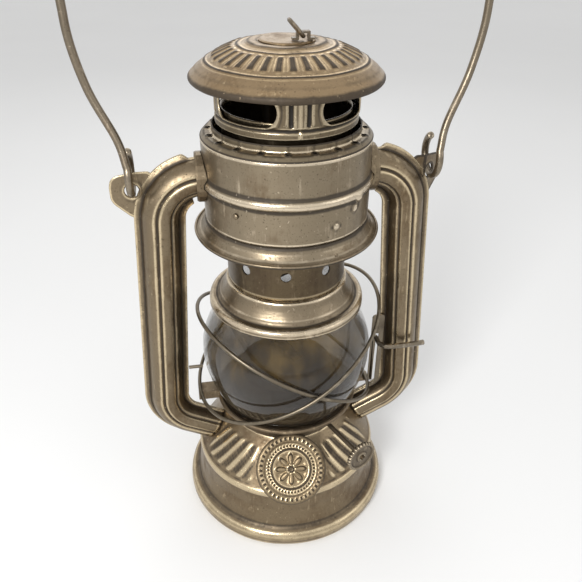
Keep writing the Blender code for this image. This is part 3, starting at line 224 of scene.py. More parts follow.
def aged_tin(name, worn_and_highlight, plain, brown, rough=0.4, stained=0.5, opening=None, sooted=None):
    """Old tinned sheet: plain tin under brown clouds and rain streaks, finely pitted. Where the attribute
    ridge is low the colour is darkened, partly grime and partly painted shade, and where it is high it is
    pale, partly wear and partly a painted highlight. opening(place) cuts holes through Alpha, and
    sooted(place) gives the share of dark smoke on it.
    """
    made, shader, place = new_finish(name)
    # Near-black brown for the pits and for the painted shade in the hollows.
    pit_and_shade_dark = (0.022, 0.015, 0.009)
    soot = (0.012, 0.009, 0.006)
    ridge = place.add("ShaderNodeAttribute", {"attribute_name": "ridge"}, {}, "Fac")
    cloud = place.noise(34.0, 5.0)
    blotch = place.noise(150.0, 8.0)
    speck = place.noise(1400.0, 3.0)
    streak = place.noise(1.0, 5.0, (520.0, 520.0, 22.0))
    stain = (cloud * 0.5 + blotch * 0.3 + streak * 0.2).rise(0.62 - stained * 0.24, 0.78 - stained * 0.24)
    colour = stain.tint(plain, brown)
    pale = (streak * 0.55 + blotch * 0.45).rise(0.54, 0.7)
    colour = (pale * 0.55).tint(colour, worn_and_highlight)
    # Painted shade: where the ridge attribute is low the colour is pulled towards near-black, partly grime
    # and partly painted shade in the hollows.
    hollow_shade = (blotch * 0.7 - ridge - 0.35).rise(0.02, 0.75)
    colour = (hollow_shade * 0.88).tint(colour, pit_and_shade_dark)
    # Painted highlight: where the ridge attribute is high the colour is pulled towards pale tin, partly real
    # wear and partly a painted highlight on the ridges.
    edge = (ridge + blotch * 0.7 - 0.35).rise(0.12, 0.85)
    colour = (edge * 0.85).tint(colour, worn_and_highlight)
    pits = speck.rise(0.4, 0.3)
    colour = (pits * 0.7).tint(colour, pit_and_shade_dark)
    flecks = place.noise(620.0, 4.0).rise(0.66, 0.72)
    colour = (flecks * 0.5).tint(colour, worn_and_highlight)
    if sooted is not None:
        colour = sooted(place, blotch).tint(colour, soot)
    colour.into(shader, "Base Color")
    (rough + stain * 0.16 + hollow_shade * 0.2 - edge * 0.12 + (blotch - 0.5) * 0.2).into(shader, "Roughness")
    (0.95 - stain * 0.25 - hollow_shade * 0.45).into(shader, "Metallic")
    height = blotch * 0.5 + speck * 0.12 - pits * 0.2 + cloud * 1.2
    place.bumpy(height, 0.5, 0.35 * mm).into(shader, "Normal")
    if opening is not None:
        opening(place).into(shader, "Alpha")
    return made


sheet = 0.7 * mm
base_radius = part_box("fount_shell")[1][0]
dome_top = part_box("fount_shell")[1][2]
dome_top_radius = 30.5 * mm
ridge_height = 32.0 * mm
ridge_radius = 49.4 * mm
groove = (51.0 * mm, 11.5 * mm)
bead_shares = np.array(((0.0, 1.0), (0.24, 0.88), (0.7, 0.78), (0.95, 0.62), (1.0, 0.45), (0.93, 0.2),
                        (0.62, 0.0)))
foot_bead = bead_shares * (base_radius - groove[0], groove[1]) + (groove[0], 0.0)
fount_line = np.concatenate((((17.8 * mm, dome_top), (dome_top_radius, dome_top), (40.4 * mm, 44.3 * mm),
                              (ridge_radius, ridge_height), (49.0 * mm, 30.0 * mm),
                              (49.2 * mm, 22.0 * mm)), foot_bead))
dome_flutes = 40.0


def fount_relief(turn, radius, height):
    """Two fans of slanted flutes on the dome beside the filler, a fine bead at its top edge and soft
    dents: a cosine of the turn, windowed by turn and by height, and slow waves for the dents.
    """
    slope = (dome_top - height) / (dome_top - ridge_height)
    fans = 0.0
    for middle, slant in ((math.radians(215.0), 0.3), (math.radians(313.0), -0.3)):
        wave = np.cos((turn - middle + slant * (slope - 0.5)) * dome_flutes)
        ridge = np.clip((wave + 0.5) / 1.3, 0.0, 1.0)
        fans = fans + ridge * bump_at(turn, middle, math.radians(19.0), math.radians(4.0))
    fans = fans * bump_at(slope, 0.52, 0.26, 0.1)
    band = bump_at(slope, 0.94, 0.02, 0.03) * 0.3
    dents = np.sin(turn * 5.0 + height * 160.0) * np.sin(turn * 3.0 - height * 230.0 + 1.0)
    wall_only = np.where(height < dome_top - 2.0 * mm, 1.0, 0.0)
    return (fans * 0.5 + band + dents * 0.12 * wall_only) * mm


fount_tin = aged_tin("fount_tin", (0.6, 0.49, 0.32), (0.21, 0.16, 0.1), (0.11, 0.07, 0.035),
                     rough=0.34, stained=0.62)
fount = spun("fount", fount_line, sheet, fount_tin, columns=320, relief=fount_relief, step=0.6 * mm)
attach(fount, "frame")
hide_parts("fount_shell")

# Pan, burner collar, filler neck and air box: plain pressed steel on and under the tank, soldered
# on. Their tin is painted darker than the fount's, partly dull, dirty tinning and partly painted shade for
# where they sit.


def give(node, finish):
    """Put a finish on a CAD piece, in every one of its material slots."""
    piece = nodes[node]
    if not piece.material_slots:
        piece.data.materials.append(finish)
    for slot in piece.material_slots:
        slot.material = finish


# Darker copy of the tin: painted shade for these parts, as well as dull dirt.
shade_painted_tin = aged_tin("shade_painted_tin", (0.36, 0.29, 0.19), (0.15, 0.115, 0.075), (0.085, 0.055, 0.03),
                      rough=0.48, stained=0.7)
for node in ("fount_bottom", "burner_collar", "filler_neck", "air_chamber"):
    give(node, shade_painted_tin)

# Filler cap: a pressed tin disc with a rolled rim, a ring of small beads and a plain eight-petalled
# rosette, screwed on the neck over a flat cork-and-rubber seal.
cap_tilt = Vector((-0.088651, -0.778077, 0.621882))
cap_side = Vector((0.0, 0.0, 1.0)).cross(cap_tilt).normalized()
cap_frame = Matrix((cap_side, cap_tilt.cross(cap_side), cap_tilt)).transposed().to_4x4()
cap_frame.translation = Vector((-4.59 * mm, -40.289 * mm, 44.5 * mm))
cap_radius = 18.0 * mm
cap_plane = 5.4 * mm
cap_petals, small_beads, large_beads = 8.0, 44.0, 40.0
cap_line = ((0.0, cap_plane), (12.9 * mm, cap_plane), (13.6 * mm, cap_plane + 0.8 * mm),
            (16.8 * mm, cap_plane + 0.9 * mm), (cap_radius, cap_plane - 0.1 * mm),
            (17.2 * mm, cap_plane - 0.9 * mm), (14.6 * mm, cap_plane - 1.0 * mm),
            (14.4 * mm, 1.3 * mm))


def cap_relief(turn, radius, height):
    """Radius picks the ring: rosette petals in the middle, fine beads round them, larger rim beads."""
    face = np.where(height > cap_plane - 0.3 * mm, 1.0, 0.0)
    petal = np.abs(np.cos(turn * cap_petals / 2.0)) ** 0.7 * 8.4 * mm
    rosette = np.clip((petal - radius) / (1.1 * mm), 0.0, 1.0) * np.clip(radius / (2.2 * mm), 0.0, 1.0)
    veins = 0.25 * np.cos(turn * cap_petals) * bump_at(radius, 5.0 * mm, 2.0 * mm, 1.0 * mm)
    button = bump_at(radius, 0.0, 1.2 * mm, 0.8 * mm) * 1.1
    ring = bump_at(radius, 10.0 * mm, 0.25 * mm, 0.5 * mm) * 0.7
    small = bump_at(radius, 11.6 * mm, 0.2 * mm, 0.6 * mm)
    small = small * np.clip(np.cos(turn * small_beads) + 0.35, 0.0, 1.2)
    large = bump_at(radius, 15.3 * mm, 0.3 * mm, 0.8 * mm)
    large = large * np.clip(np.cos(turn * large_beads) + 0.3, 0.0, 1.2)
    return (rosette * 0.75 + veins + button + ring + small * 0.5 + large * 0.55) * face * mm


cap_tin = aged_tin("cap_tin", (0.62, 0.5, 0.32), (0.25, 0.19, 0.115), (0.14, 0.095, 0.048),
                   rough=0.34, stained=0.55)
cap = spun("filler_cap_pressed", cap_line, sheet, cap_tin, columns=352, relief=cap_relief,
           step=0.32 * mm, move=cap_frame)
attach(cap, "cap")
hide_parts("filler_cap")


def seal_finish():
    """Cork rubber: dark brown crumbs of two sizes, dull and slightly bumpy."""
    made, shader, place = new_finish("cork_rubber")
    crumb = place.noise(900.0, 4.0)
    lump = place.noise(260.0, 3.0)
    crumbly = (crumb * 0.6 + lump * 0.4).rise(0.4, 0.62)
    crumbly.tint((0.03, 0.02, 0.014), (0.11, 0.07, 0.04)).into(shader, "Base Color")
    (0.72 + crumb * 0.2).into(shader, "Roughness")
    place.bumpy(crumb, 0.6, 0.2 * mm).into(shader, "Normal")
    return made


give("cap_gasket", seal_finish())

# Burner: drawn brass body and wick tube, a sooted steel cone, and a flat woven cotton wick between
# two small toothed wheels on the raiser's shaft, with a fluted knob outside the air box.


def burner_finish(name, bright, dull, soot):
    """Smoked metal: a tarnish cloud over the bare metal and soot that thickens towards the flame."""
    made, shader, place = new_finish(name)
    cloud = place.noise(90.0, 6.0)
    grain = place.noise(1100.0, 3.0)
    colour = (cloud * 0.7 + grain * 0.3).rise(0.38, 0.64).tint(bright, dull)
    smoke = (place.part("Z") + (cloud - 0.5) * 0.02).rise(0.056, 0.076)
    (smoke * soot).tint(colour, (0.012, 0.01, 0.008)).into(shader, "Base Color")
    (0.36 + cloud * 0.25 + smoke * 0.2).into(shader, "Roughness")
    shader.inputs["Metallic"].default_value = 0.9
    place.bumpy(grain, 0.3, 0.06 * mm).into(shader, "Normal")
    return made


burner_brass = burner_finish("burner_brass", (0.34, 0.22, 0.09), (0.14, 0.085, 0.04), 0.5)
burner_steel = burner_finish("burner_steel", (0.13, 0.1, 0.07), (0.05, 0.037, 0.025), 0.9)
for node in ("burner_body", "wick_tube", "wick_wheel_inner", "wick_wheel_outer"):
    give(node, burner_brass)
give("burner_cone", burner_steel)


def cotton_finish():
    """Plaited cotton: fine crossed ribs from two waves, charred at the top."""
    made, shader, place = new_finish("wick_cotton")
    across = place.add("ShaderNodeTexWave", {"bands_direction": "Z"},
                       {"Vector": place, "Scale": 500.0, "Distortion": 1.5, "Detail": 2.0}, 1)
    down = place.add("ShaderNodeTexWave", {"bands_direction": "X"},
                     {"Vector": place, "Scale": 420.0, "Distortion": 1.5, "Detail": 2.0}, 1)
    weave = across * 0.5 + down * 0.5
    colour = weave.tint((0.3, 0.22, 0.12), (0.6, 0.5, 0.33))
    char = (place.part("Z") + weave * 0.001).rise(0.081, 0.0855)
    char.tint(colour, (0.01, 0.008, 0.007)).into(shader, "Base Color")
    (0.8 + weave * 0.15).into(shader, "Roughness")
    place.bumpy(weave, 0.8, 0.3 * mm).into(shader, "Normal")
    return made


give("wick", cotton_finish())

shaft_turn = math.radians(-66.0)
shaft_height = 60.2 * mm
shaft_aside = 4.5 * mm
knob_reach = 60.0 * mm
knob_middle = Matrix.Rotation(shaft_turn, 3, "Z") @ Vector((knob_reach, shaft_aside, 0.0))
knob_frame = Matrix.Rotation(shaft_turn, 4, "Z") @ Matrix.Rotation(math.pi / 2.0, 4, "Y")
knob_frame = Matrix.Translation((knob_middle.x, knob_middle.y, shaft_height)) @ knob_frame
knob_line = np.array(((1.35, 1.25), (2.5, 1.25), (3.1, 0.45), (6.3, 0.45), (6.9, 1.2), (7.8, 1.2),
                      (8.3, 0.5), (8.3, -0.5), (7.8, -1.2), (6.9, -1.2), (6.3, -0.45), (3.1, -0.45),
                      (2.5, -1.25), (1.35, -1.25))) * mm
knob_round = spaced(rounded(knob_line, 0.35 * mm), 0.25 * mm)
knob_turn = np.linspace(0.0, math.tau, 256, endpoint=False)[None]
knob_flutes = 28.0
knob_grip = np.clip((knob_round[:, :1] - 6.6 * mm) / (1.6 * mm), 0.0, 1.0)
knob_size = knob_round[:, :1] - (0.5 + 0.5 * np.cos(knob_turn * knob_flutes)) * knob_grip * 0.5 * mm
knob_points = np.stack((knob_size * np.cos(knob_turn), knob_size * np.sin(knob_turn),
                        knob_round[:, 1:] + 0.0 * knob_turn), axis=2)
knob_points = knob_points @ np.array(knob_frame.to_3x3()).T + np.array(knob_frame.translation)
knob_tin = aged_tin("knob_tin", (0.5, 0.42, 0.3), (0.15, 0.12, 0.085), (0.085, 0.06, 0.035),
                    rough=0.42, stained=0.6)
knob = skin("wick_knob_fluted", [knob_points], knob_tin)
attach(knob, "wick_raiser")
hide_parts("wick_knob")
give("wick_shaft", knob_tin)

# Gallery: a flat tin ring with a rolled edge that the globe stands on, with bent lugs for the two
# guard wires and a small foot for the lift crank.
gallery_tin = aged_tin("gallery_tin", (0.5, 0.4, 0.26), (0.17, 0.13, 0.085), (0.1, 0.065, 0.035),
                       rough=0.42, stained=0.65)
give("gallery_ring", gallery_tin)
gallery_top = 66.0 * mm


def carried(name, path, size, finish, closed=False, around=20):
    """Round section of a size carried along a path: each station's frame is the last one's, turned by
    as little as brings it square to the path. Open ends shrink to a point in three rounded steps.
    """
    path = np.asarray(path, float)
    if closed:
        along = np.roll(path, -1, 0) - np.roll(path, 1, 0)
    else:
        along = np.gradient(path, axis=0)
    along /= np.linalg.norm(along, axis=1, keepdims=True)
    first = np.cross(along[0], (0.31, 0.77, 0.56))
    squares = [first / np.linalg.norm(first)]
    for heading in along[1:]:
        square = squares[-1] - heading * (squares[-1] @ heading)
        squares.append(square / np.linalg.norm(square))
    squares = np.array(squares)
    if closed:
        last = squares[-1] - along[0] * (squares[-1] @ along[0])
        twist = math.atan2(np.cross(last, squares[0]) @ along[0], last @ squares[0])
        spin = np.linspace(0.0, twist, len(path))[:, None]
        squares = squares * np.cos(spin) + np.cross(along, squares) * np.sin(spin)
    others = np.cross(along, squares)
    sizes = np.full(len(path), size)
    if not closed:
        ends = np.array((0.0, 0.62, 0.9)) * size
        steps = np.array((1.0, 0.75, 0.4)) * size
        head = path[0] - along[0] * steps[:, None] * 0.5
        tail = path[-1] + along[-1] * steps[::-1, None] * 0.5
        path = np.concatenate((head, path, tail))
        sizes = np.concatenate((ends, sizes, ends[::-1]))
        squares = np.concatenate((squares[[0, 0, 0]], squares, squares[[-1, -1, -1]]))
        others = np.concatenate((others[[0, 0, 0]], others, others[[-1, -1, -1]]))
    roll = np.linspace(0.0, math.tau, around, endpoint=False)
    ring = squares[:, None] * np.cos(roll)[:, None] + others[:, None] * np.sin(roll)[:, None]
    return skin(name, [path[:, None] + ring * sizes[:, None, None]], finish, reach=1, rows_meet=closed)


def level_circle(radius, height):
    """Points of a level circle about Z: radius * cos and radius * sin of an even turn."""
    turn = np.linspace(0.0, math.tau, 240, endpoint=False)
    return np.stack((radius * np.cos(turn), radius * np.sin(turn), height + 0.0 * turn), axis=1)


gallery_circle = level_circle(36.5 * mm, gallery_top - 0.4 * mm)
gallery_edge = carried("gallery_rolled_edge", gallery_circle, 1.15 * mm, gallery_tin, closed=True)
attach(gallery_edge, "globe_carrier")

# Globe: pear-shaped blown glass, 1.7 mm thick, browned with smoke that is densest near the burner and
# clouded and streaked above the belly, its outside still glossy. Alpha makes it see-through.


def smoky_glass():
    """Amber to black stain by height with clouds and runs in it; the same stain thickens Alpha."""
    made, shader, place = new_finish("smoky_glass")
    height = place.part("Z")
    cloud = place.noise(55.0, 6.0)
    runs = place.noise(1.0, 4.0, (190.0, 190.0, 30.0))
    smoke = (height + (cloud - 0.5) * 0.045 + (runs - 0.5) * 0.02).rise(0.123, 0.094)
    colour = (cloud * 0.6 + runs * 0.4).rise(0.36, 0.66).tint((0.035, 0.022, 0.008), (0.16, 0.105, 0.036))
    smoke.tint(colour, (0.022, 0.015, 0.008)).into(shader, "Base Color")
    thickness = 0.32 + smoke * 0.26 + (cloud - 0.5) * 0.5
    place.maths("MAXIMUM", thickness, 0.14).into(shader, "Alpha")
    (0.04 + runs * 0.06).into(shader, "Roughness")
    shader.inputs["IOR"].default_value = 1.5
    shader.inputs["Coat Weight"].default_value = 0.6
    shader.inputs["Coat Roughness"].default_value = 0.03
    return made


globe_low, globe_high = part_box("globe")
globe_middle = globe_low[2] + (globe_high[2] - globe_low[2]) * 0.46
belly = globe_high[0]
belly_shares = np.array(((0.0, 1.0), (0.14, 0.86), (0.4, 0.64), (0.76, 0.42), (0.95, 0.25), (1.0, 0.1),
                         (1.0, -0.05), (0.93, -0.25), (0.72, -0.5), (0.4, -0.75), (0.1, -0.92),
                         (0.0, -1.0)))
end_radius = np.where(belly_shares[:, 1] > 0.0, 34.2 * mm, 34.6 * mm)
end_height = np.where(belly_shares[:, 1] > 0.0, globe_high[2] - globe_middle, globe_middle - globe_low[2])
globe_line = np.stack((end_radius + (belly - end_radius) * belly_shares[:, 0],
                       globe_middle + end_height * belly_shares[:, 1]), axis=1)
globe = spun("globe_glass", rounded(globe_line, 5.0 * mm), 1.7 * mm, smoky_glass(), columns=192,
             step=1.0 * mm)
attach(globe, "globe_carrier")
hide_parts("globe")

# Guard: two hoops of drawn steel wire that cross in front of and behind the globe, soldered to the
# gallery's lugs and dulled to a dark grey-brown.
wire_tin = aged_tin("guard_wire_tin", (0.46, 0.4, 0.31), (0.15, 0.125, 0.09), (0.085, 0.06, 0.035),
                    rough=0.36, stained=0.5)
air_box_top = 64.9 * mm
hoop_turn = np.linspace(0.0, math.tau, 260, endpoint=False)
for label, radius, middle, fall, tilt in (("inner", 44.65, 29.4, -26.7 / 44.65, -0.09),
                                          ("outer", 46.85, 33.1, 25.8 / 46.85, 0.15)):
    across, deep = radius * mm * np.cos(hoop_turn), radius * mm * np.sin(hoop_turn)
    hoop_path = np.stack((across, deep, air_box_top + middle * mm + fall * across + tilt * deep), axis=1)
    hoop = carried("guard_wire_" + label, hoop_path, 0.95 * mm, wire_tin, closed=True, around=18)
    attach(hoop, "globe_carrier")
    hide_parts("guard_hoop_" + label)

# Chimney and globe plate: a plain seamed tube whose nine round vents are cut by Alpha, and under it
# the dished plate that presses on the globe, both spun from tinned sheet and browned by heat.
plate_low, plate_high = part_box("globe_plate")
chimney_low, chimney_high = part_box("chimney_tube")
seat = plate_low[2] + 3.9 * mm
chimney_radius = 28.3 * mm
plate_radius = 38.1 * mm
dish = np.array(((-0.08, 1.0), (0.1, 0.94), (0.22, 0.6), (0.34, 0.36), (0.46, 0.22), (0.52, 0.02),
                 (0.62, 0.0), (0.86, 0.0)))
plate_line = dish * (9.8 * mm, 10.3 * mm) + (chimney_radius, seat)
plate_line = np.concatenate((plate_line, ((plate_radius, seat - 1.2 * mm), (plate_radius, plate_low[2]))))


def plate_relief(turn, radius, height):
    """A fine turned step and slow dents round the rim."""
    steps = bump_at(radius, 33.6 * mm, 0.2 * mm, 0.4 * mm) * 0.3
    return (steps + np.sin(turn * 7.0) * np.sin(turn * 3.0 + 2.0) * 0.12) * mm


plate_tin = aged_tin("plate_tin", (0.62, 0.52, 0.38), (0.22, 0.175, 0.118), (0.12, 0.08, 0.042),
                     rough=0.33, stained=0.55)
plate = spun("globe_plate_dished", plate_line, sheet, plate_tin, relief=plate_relief, step=0.45 * mm)
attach(plate, "chimney")
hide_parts("globe_plate")

vent_height = plate_high[2] + 12.8 * mm
vent_start = math.radians(-100.2)
vent_share = math.tau / 9.0


def vent_holes(place):
    """0 inside nine round holes: the turn is folded into one ninth and measured along the wall."""
    turn = place.maths("ARCTAN2", place.part("Y"), place.part("X")) - vent_start
    turn = turn + vent_share / 2.0 + math.tau
    fold = (place.maths("MODULO", turn, vent_share) - vent_share / 2.0) * chimney_radius
    lift = place.part("Z") - vent_height
    return fold.hypot(lift).rise(2.3 * mm, 2.5 * mm)


def chimney_soot(place, blotch):
    """Heat stain that thickens upwards into the air chamber."""
    return (place.part("Z") + (blotch - 0.5) * 0.02).rise(0.155, 0.2) * 0.6


chimney_tin = aged_tin("chimney_tin", (0.34, 0.27, 0.17), (0.1, 0.074, 0.044), (0.055, 0.035, 0.018),
                       rough=0.36, stained=0.6, opening=vent_holes, sooted=chimney_soot)
chimney_line = ((chimney_radius, chimney_high[2]), (chimney_radius, chimney_low[2]))


def chimney_relief(turn, radius, height):
    """A folded seam down the back and shallow waves."""
    seam = bump_at(turn, math.radians(100.0), 0.03, 0.02) * 0.3
    return (seam + np.sin(turn * 4.0 + height * 90.0) * 0.08 - 0.05) * mm


chimney = spun("chimney_wall", chimney_line, sheet, chimney_tin, relief=chimney_relief, step=1.0 * mm)
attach(chimney, "chimney")
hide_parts("chimney_tube")

# Vent collar and hood: a short drum with four oval windows and pressed flutes on its bars, under a
# spun hood with a rolled rim, a band of pressed petals and a raised crown.
collar_low, collar_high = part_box("vent_collar")
collar_radius = 30.6 * mm
window_half = math.radians(28.0)
window_rise = collar_low[2] + 10.4 * mm
window_size = 6.0 * mm


def collar_quarter(middle):
    """Quarter of the collar as a grid from the window's edge (row 0) to the quarter's border, front
    then back: the window is a stadium in turn and height, the border a rectangle, and rows blend.
    """
    u = np.linspace(0.0, math.tau, 240, endpoint=False)
    reach = window_half - window_size / collar_radius
    edge_turn_at = reach * np.clip(np.cos(u) * 3.0, -1.0, 1.0) + window_size / collar_radius * np.cos(u)
    edge_rise = window_rise + window_size * np.sin(u)
    half = math.pi / 4.0
    stretch = 1.0 / np.maximum(np.abs(np.cos(u)), np.abs(np.sin(u)))
    rim_turn = half * np.clip(np.cos(u) * stretch, -1.0, 1.0)
    rim_rise = np.clip(np.sin(u) * stretch, -1.0, 1.0)
    rim_height = np.where(rim_rise > 0.0, window_rise + rim_rise * (collar_high[2] - window_rise),
                          window_rise + rim_rise * (window_rise - collar_low[2]))
    v = np.concatenate(((0.0, 0.03, 0.08), np.linspace(0.14, 1.0, 16)))[:, None]
    turn = middle + edge_turn_at + (rim_turn - edge_turn_at) * v
    height = edge_rise + (rim_height - edge_rise) * v
    lip = np.exp(-((v - 0.08) / 0.07) ** 2) * 0.5 * mm
    bar = np.abs(((turn + math.pi / 2.0) + math.pi) % (math.pi / 2.0))
    bar = np.minimum(bar, math.pi / 2.0 - bar) * collar_radius
    flutes = bump_at(bar, 3.6 * mm, 0.5 * mm, 0.8 * mm)
    flutes = flutes * bump_at(height, collar_low[2] + 9.5 * mm, 4.0 * mm, 1.5 * mm)
    foot = bump_at(height, collar_low[2] + 3.4 * mm, 0.4 * mm, 0.6 * mm) * -0.5 * mm
    front = collar_radius + lip + foot - flutes * 0.8 * mm
    back = front - sheet
    sides = [np.stack((size * np.cos(turn), size * np.sin(turn), height), axis=2) for size in (front, back)]
    return np.concatenate((sides[0], sides[1][::-1]))


def window_soot_and_shade(place, blotch):
    """Soot and painted shade inside the collar, where the radius is below its middle."""
    radius = place.part("X").hypot(place.part("Y"))
    # The inner face is pulled towards near-black: partly soot, partly painted shade seen through the
    # windows.
    return radius.rise(30.25 * mm, 30.05 * mm) * 0.9


collar_tin = aged_tin("collar_tin", (0.46, 0.38, 0.26), (0.16, 0.125, 0.08), (0.085, 0.058, 0.03),
                      rough=0.36, stained=0.55, sooted=window_soot_and_shade)
quarters = [collar_quarter(math.radians(-45.0 + 90.0 * i)) for i in range(4)]
collar = skin("vent_collar_fluted", quarters, collar_tin)
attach(collar, "chimney")
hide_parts("vent_collar")

hood_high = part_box("hood")[1]
hood_radius = hood_high[0]
hood_drop = 12.8 * mm
hood_petals = 34.0
hood_shares = np.array(((0.0, 0.0), (0.27, 0.0), (0.3, -0.05), (0.39, -0.05), (0.43, 0.03), (0.535, 0.094),
                        (0.62, 0.203), (0.713, 0.328), (0.796, 0.461), (0.871, 0.594), (0.927, 0.719),
                        (0.962, 0.84), (0.985, 0.9), (1.0, 0.97), (1.0, 1.06), (0.985, 1.12), (0.965, 1.09)))
hood_line = hood_shares * (hood_radius, -hood_drop) + (0.0, hood_high[2] - 0.2 * mm)


def hood_relief(turn, radius, height):
    """A band of raised petals round the slope, a fine ring on each side of it, and slow dents."""
    wave = np.cos(turn * hood_petals)
    petal = np.clip((wave + 0.5) / 1.2, 0.0, 1.0)
    band = bump_at(radius, 26.5 * mm, 3.2 * mm, 1.6 * mm) * petal * 0.6
    inner_ring = bump_at(radius, 20.2 * mm, 0.3 * mm, 0.5 * mm)
    outer_ring = bump_at(radius, 33.4 * mm, 0.3 * mm, 0.5 * mm)
    dents = np.sin(turn * 3.0 + 0.6) * np.sin(turn * 5.0 + radius * 90.0) * 0.18
    dents = dents * np.clip(radius / (20.0 * mm), 0.0, 1.0)
    return (band + (inner_ring + outer_ring) * 0.4 + dents) * mm


hood_tin = aged_tin("hood_tin", (0.7, 0.54, 0.33), (0.3, 0.215, 0.125), (0.165, 0.105, 0.05),
                    rough=0.34, stained=0.55)
hood = spun("hood_pressed", hood_line, sheet, hood_tin, columns=352, relief=hood_relief, step=0.5 * mm)
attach(hood, "chimney")
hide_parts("hood")
give("hood_crown", hood_tin)

# Air chamber: a drum with one rolled bead and a few solder blobs, closed by a shoulder plate with an
# upright lip, on a flared skirt whose edge is worn to bright metal and carries a painted highlight. The
# shoulder's small holes and the drum's two holes for the side tubes are cut by Alpha.
top_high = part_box("chamber_top")[1]
drum_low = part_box("chamber_drum")[0]
skirt_low, skirt_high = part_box("chamber_skirt")
chamber_radius = 37.4 * mm
shoulder_height = top_high[2] - 3.2 * mm
bead_height = drum_low[2] + 18.2 * mm
bead_radius = chamber_radius + 1.5 * mm
drum_line = ((chamber_radius, shoulder_height - 2.2 * mm), (chamber_radius, bead_height + 2.6 * mm),
             (bead_radius, bead_height + 0.9 * mm), (bead_radius, bead_height - 0.9 * mm),
             (chamber_radius, bead_height - 2.6 * mm), (chamber_radius, drum_low[2]))
tube_entry_height = 190.6 * mm
# Each solder spot is turn in radians, height in mm, size in mm and rise in mm.
solder_spots = ((-0.835, 188.0, 2.0, 1.3), (-0.87, 184.0, 1.5, 1.1), (-1.15, 178.5, 1.2, 0.8))


def drum_relief(turn, radius, height):
    """Solder blobs as round hills at a few places, and the long shallow dents of a thin old drum."""
    blobs = 0.0
    for at, up, size, rise in solder_spots:
        apart = np.hypot((turn - at % math.tau) * chamber_radius / mm, height / mm - up)
        blobs = blobs + np.exp(-(apart / size) ** 2) * rise
    dents = np.sin(turn * 6.0 + height * 70.0) * np.sin(turn * 4.0 - height * 140.0) * 0.14
    return (blobs + dents - 0.1) * mm


def tube_ways(place):
    """0 inside the two round holes where the side tubes enter the drum."""
    deep, lift = place.part("Y"), place.part("Z") - tube_entry_height
    return deep.hypot(lift).rise(8.9 * mm, 9.1 * mm)


drum_tin = aged_tin("drum_tin", (0.66, 0.56, 0.42), (0.235, 0.19, 0.13), (0.12, 0.082, 0.045),
                    rough=0.33, stained=0.55, opening=tube_ways)
drum = spun("chamber_drum_rolled", drum_line, sheet, drum_tin, columns=288, relief=drum_relief)
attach(drum, "frame")
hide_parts("chamber_drum")

hole_circle = 33.9 * mm
hole_share = math.tau / 20.0


def air_holes(place):
    """0 inside twenty small holes on the shoulder's circle."""
    across, deep = place.part("X"), place.part("Y")
    turn = place.maths("ARCTAN2", deep, across) + math.tau
    aside = (place.maths("MODULO", turn, hole_share) - hole_share / 2.0) * hole_circle
    away = across.hypot(deep) - hole_circle
    return aside.hypot(away).rise(0.95 * mm, 1.15 * mm)


def shoulder_relief(turn, radius, height):
    """A raised burr round each of the twenty holes."""
    fold = (turn + math.tau) % hole_share - hole_share / 2.0
    apart = np.hypot(fold * hole_circle, radius - hole_circle)
    return np.exp(-((apart - 1.3 * mm) / (0.45 * mm)) ** 2) * 0.35 * mm


shoulder_tin = aged_tin("shoulder_tin", (0.6, 0.5, 0.36), (0.2, 0.16, 0.105), (0.11, 0.073, 0.038),
                        rough=0.35, stained=0.55, opening=air_holes)
lip = 32.3 * mm
shoulder_line = ((lip, top_high[2]), (lip, shoulder_height + 0.5 * mm), (lip + 0.6 * mm, shoulder_height),
                 (chamber_radius - 1.8 * mm, shoulder_height), (chamber_radius, shoulder_height - 1.9 * mm))
shoulder = spun("chamber_shoulder", shoulder_line, 0.6 * mm, shoulder_tin, columns=480,
                relief=shoulder_relief, step=0.35 * mm)
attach(shoulder, "frame")
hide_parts("chamber_top")

flare = np.array(((0.0, 0.1), (0.12, 0.45), (0.45, 0.8), (0.9, 0.96), (1.0, 1.0)))
flare_line = flare * (skirt_high[0] - chamber_radius - 0.2 * mm, skirt_low[2] - skirt_high[2])
flare_line = flare_line + (chamber_radius, skirt_high[2])
skirt_line = np.concatenate((((28.9 * mm, skirt_high[2]), (36.6 * mm, skirt_high[2])), flare_line))


def skirt_relief(turn, radius, height):
    """Slow waves round the skirt."""
    return np.sin(turn * 9.0) * np.sin(turn * 2.0) * 0.12 * mm


skirt = spun("chamber_skirt_flared", skirt_line, 0.65 * mm, drum_tin, columns=256, relief=skirt_relief,
             step=0.5 * mm)
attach(skirt, "frame")
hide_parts("chamber_skirt")
skirt_circle = level_circle(skirt_high[0] - 0.55 * mm, skirt_low[2] + 0.5 * mm)
skirt_roll = carried("skirt_rolled_edge", skirt_circle, 0.5 * mm, plate_tin, closed=True, around=14)
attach(skirt_roll, "frame")

# Side tubes: each pressed in two halves from tinned sheet, folded together along flat side flanges
# with a crease down each half. They carry the air chamber and lead warm air down; the collars at the
# drum are soldered, and an ear on each outer seam takes the bail.
tube_radius = 8.4 * mm
tube_top = np.array((38.1 * mm, 171.1 * mm))
tube_foot = np.array((44.4 * mm, 68.5 * mm))
top_bend, foot_bend = 19.5 * mm, 20.0 * mm
run = tube_foot - tube_top
lean = math.acos((top_bend - foot_bend) / float(np.linalg.norm(run))) + math.atan2(run[1], run[0])
foot_turn = math.radians(28.0 - 90.0)
upper_turn = np.linspace(math.pi / 2.0, lean, 60)
lower_turn = np.linspace(lean, foot_turn, 40)
upper_way = tube_top + top_bend * np.stack((np.cos(upper_turn), np.sin(upper_turn)), axis=1)
lower_way = tube_foot + foot_bend * np.stack((np.cos(lower_turn), np.sin(lower_turn)), axis=1)
straight = np.linspace(0.0, 1.0, 50)[1:-1, None]
middle_way = upper_way[-1] + (lower_way[0] - upper_way[-1]) * straight
entry = np.array(((35.9 * mm, tube_entry_height),))
tube_way = np.concatenate((entry, upper_way, middle_way, lower_way))
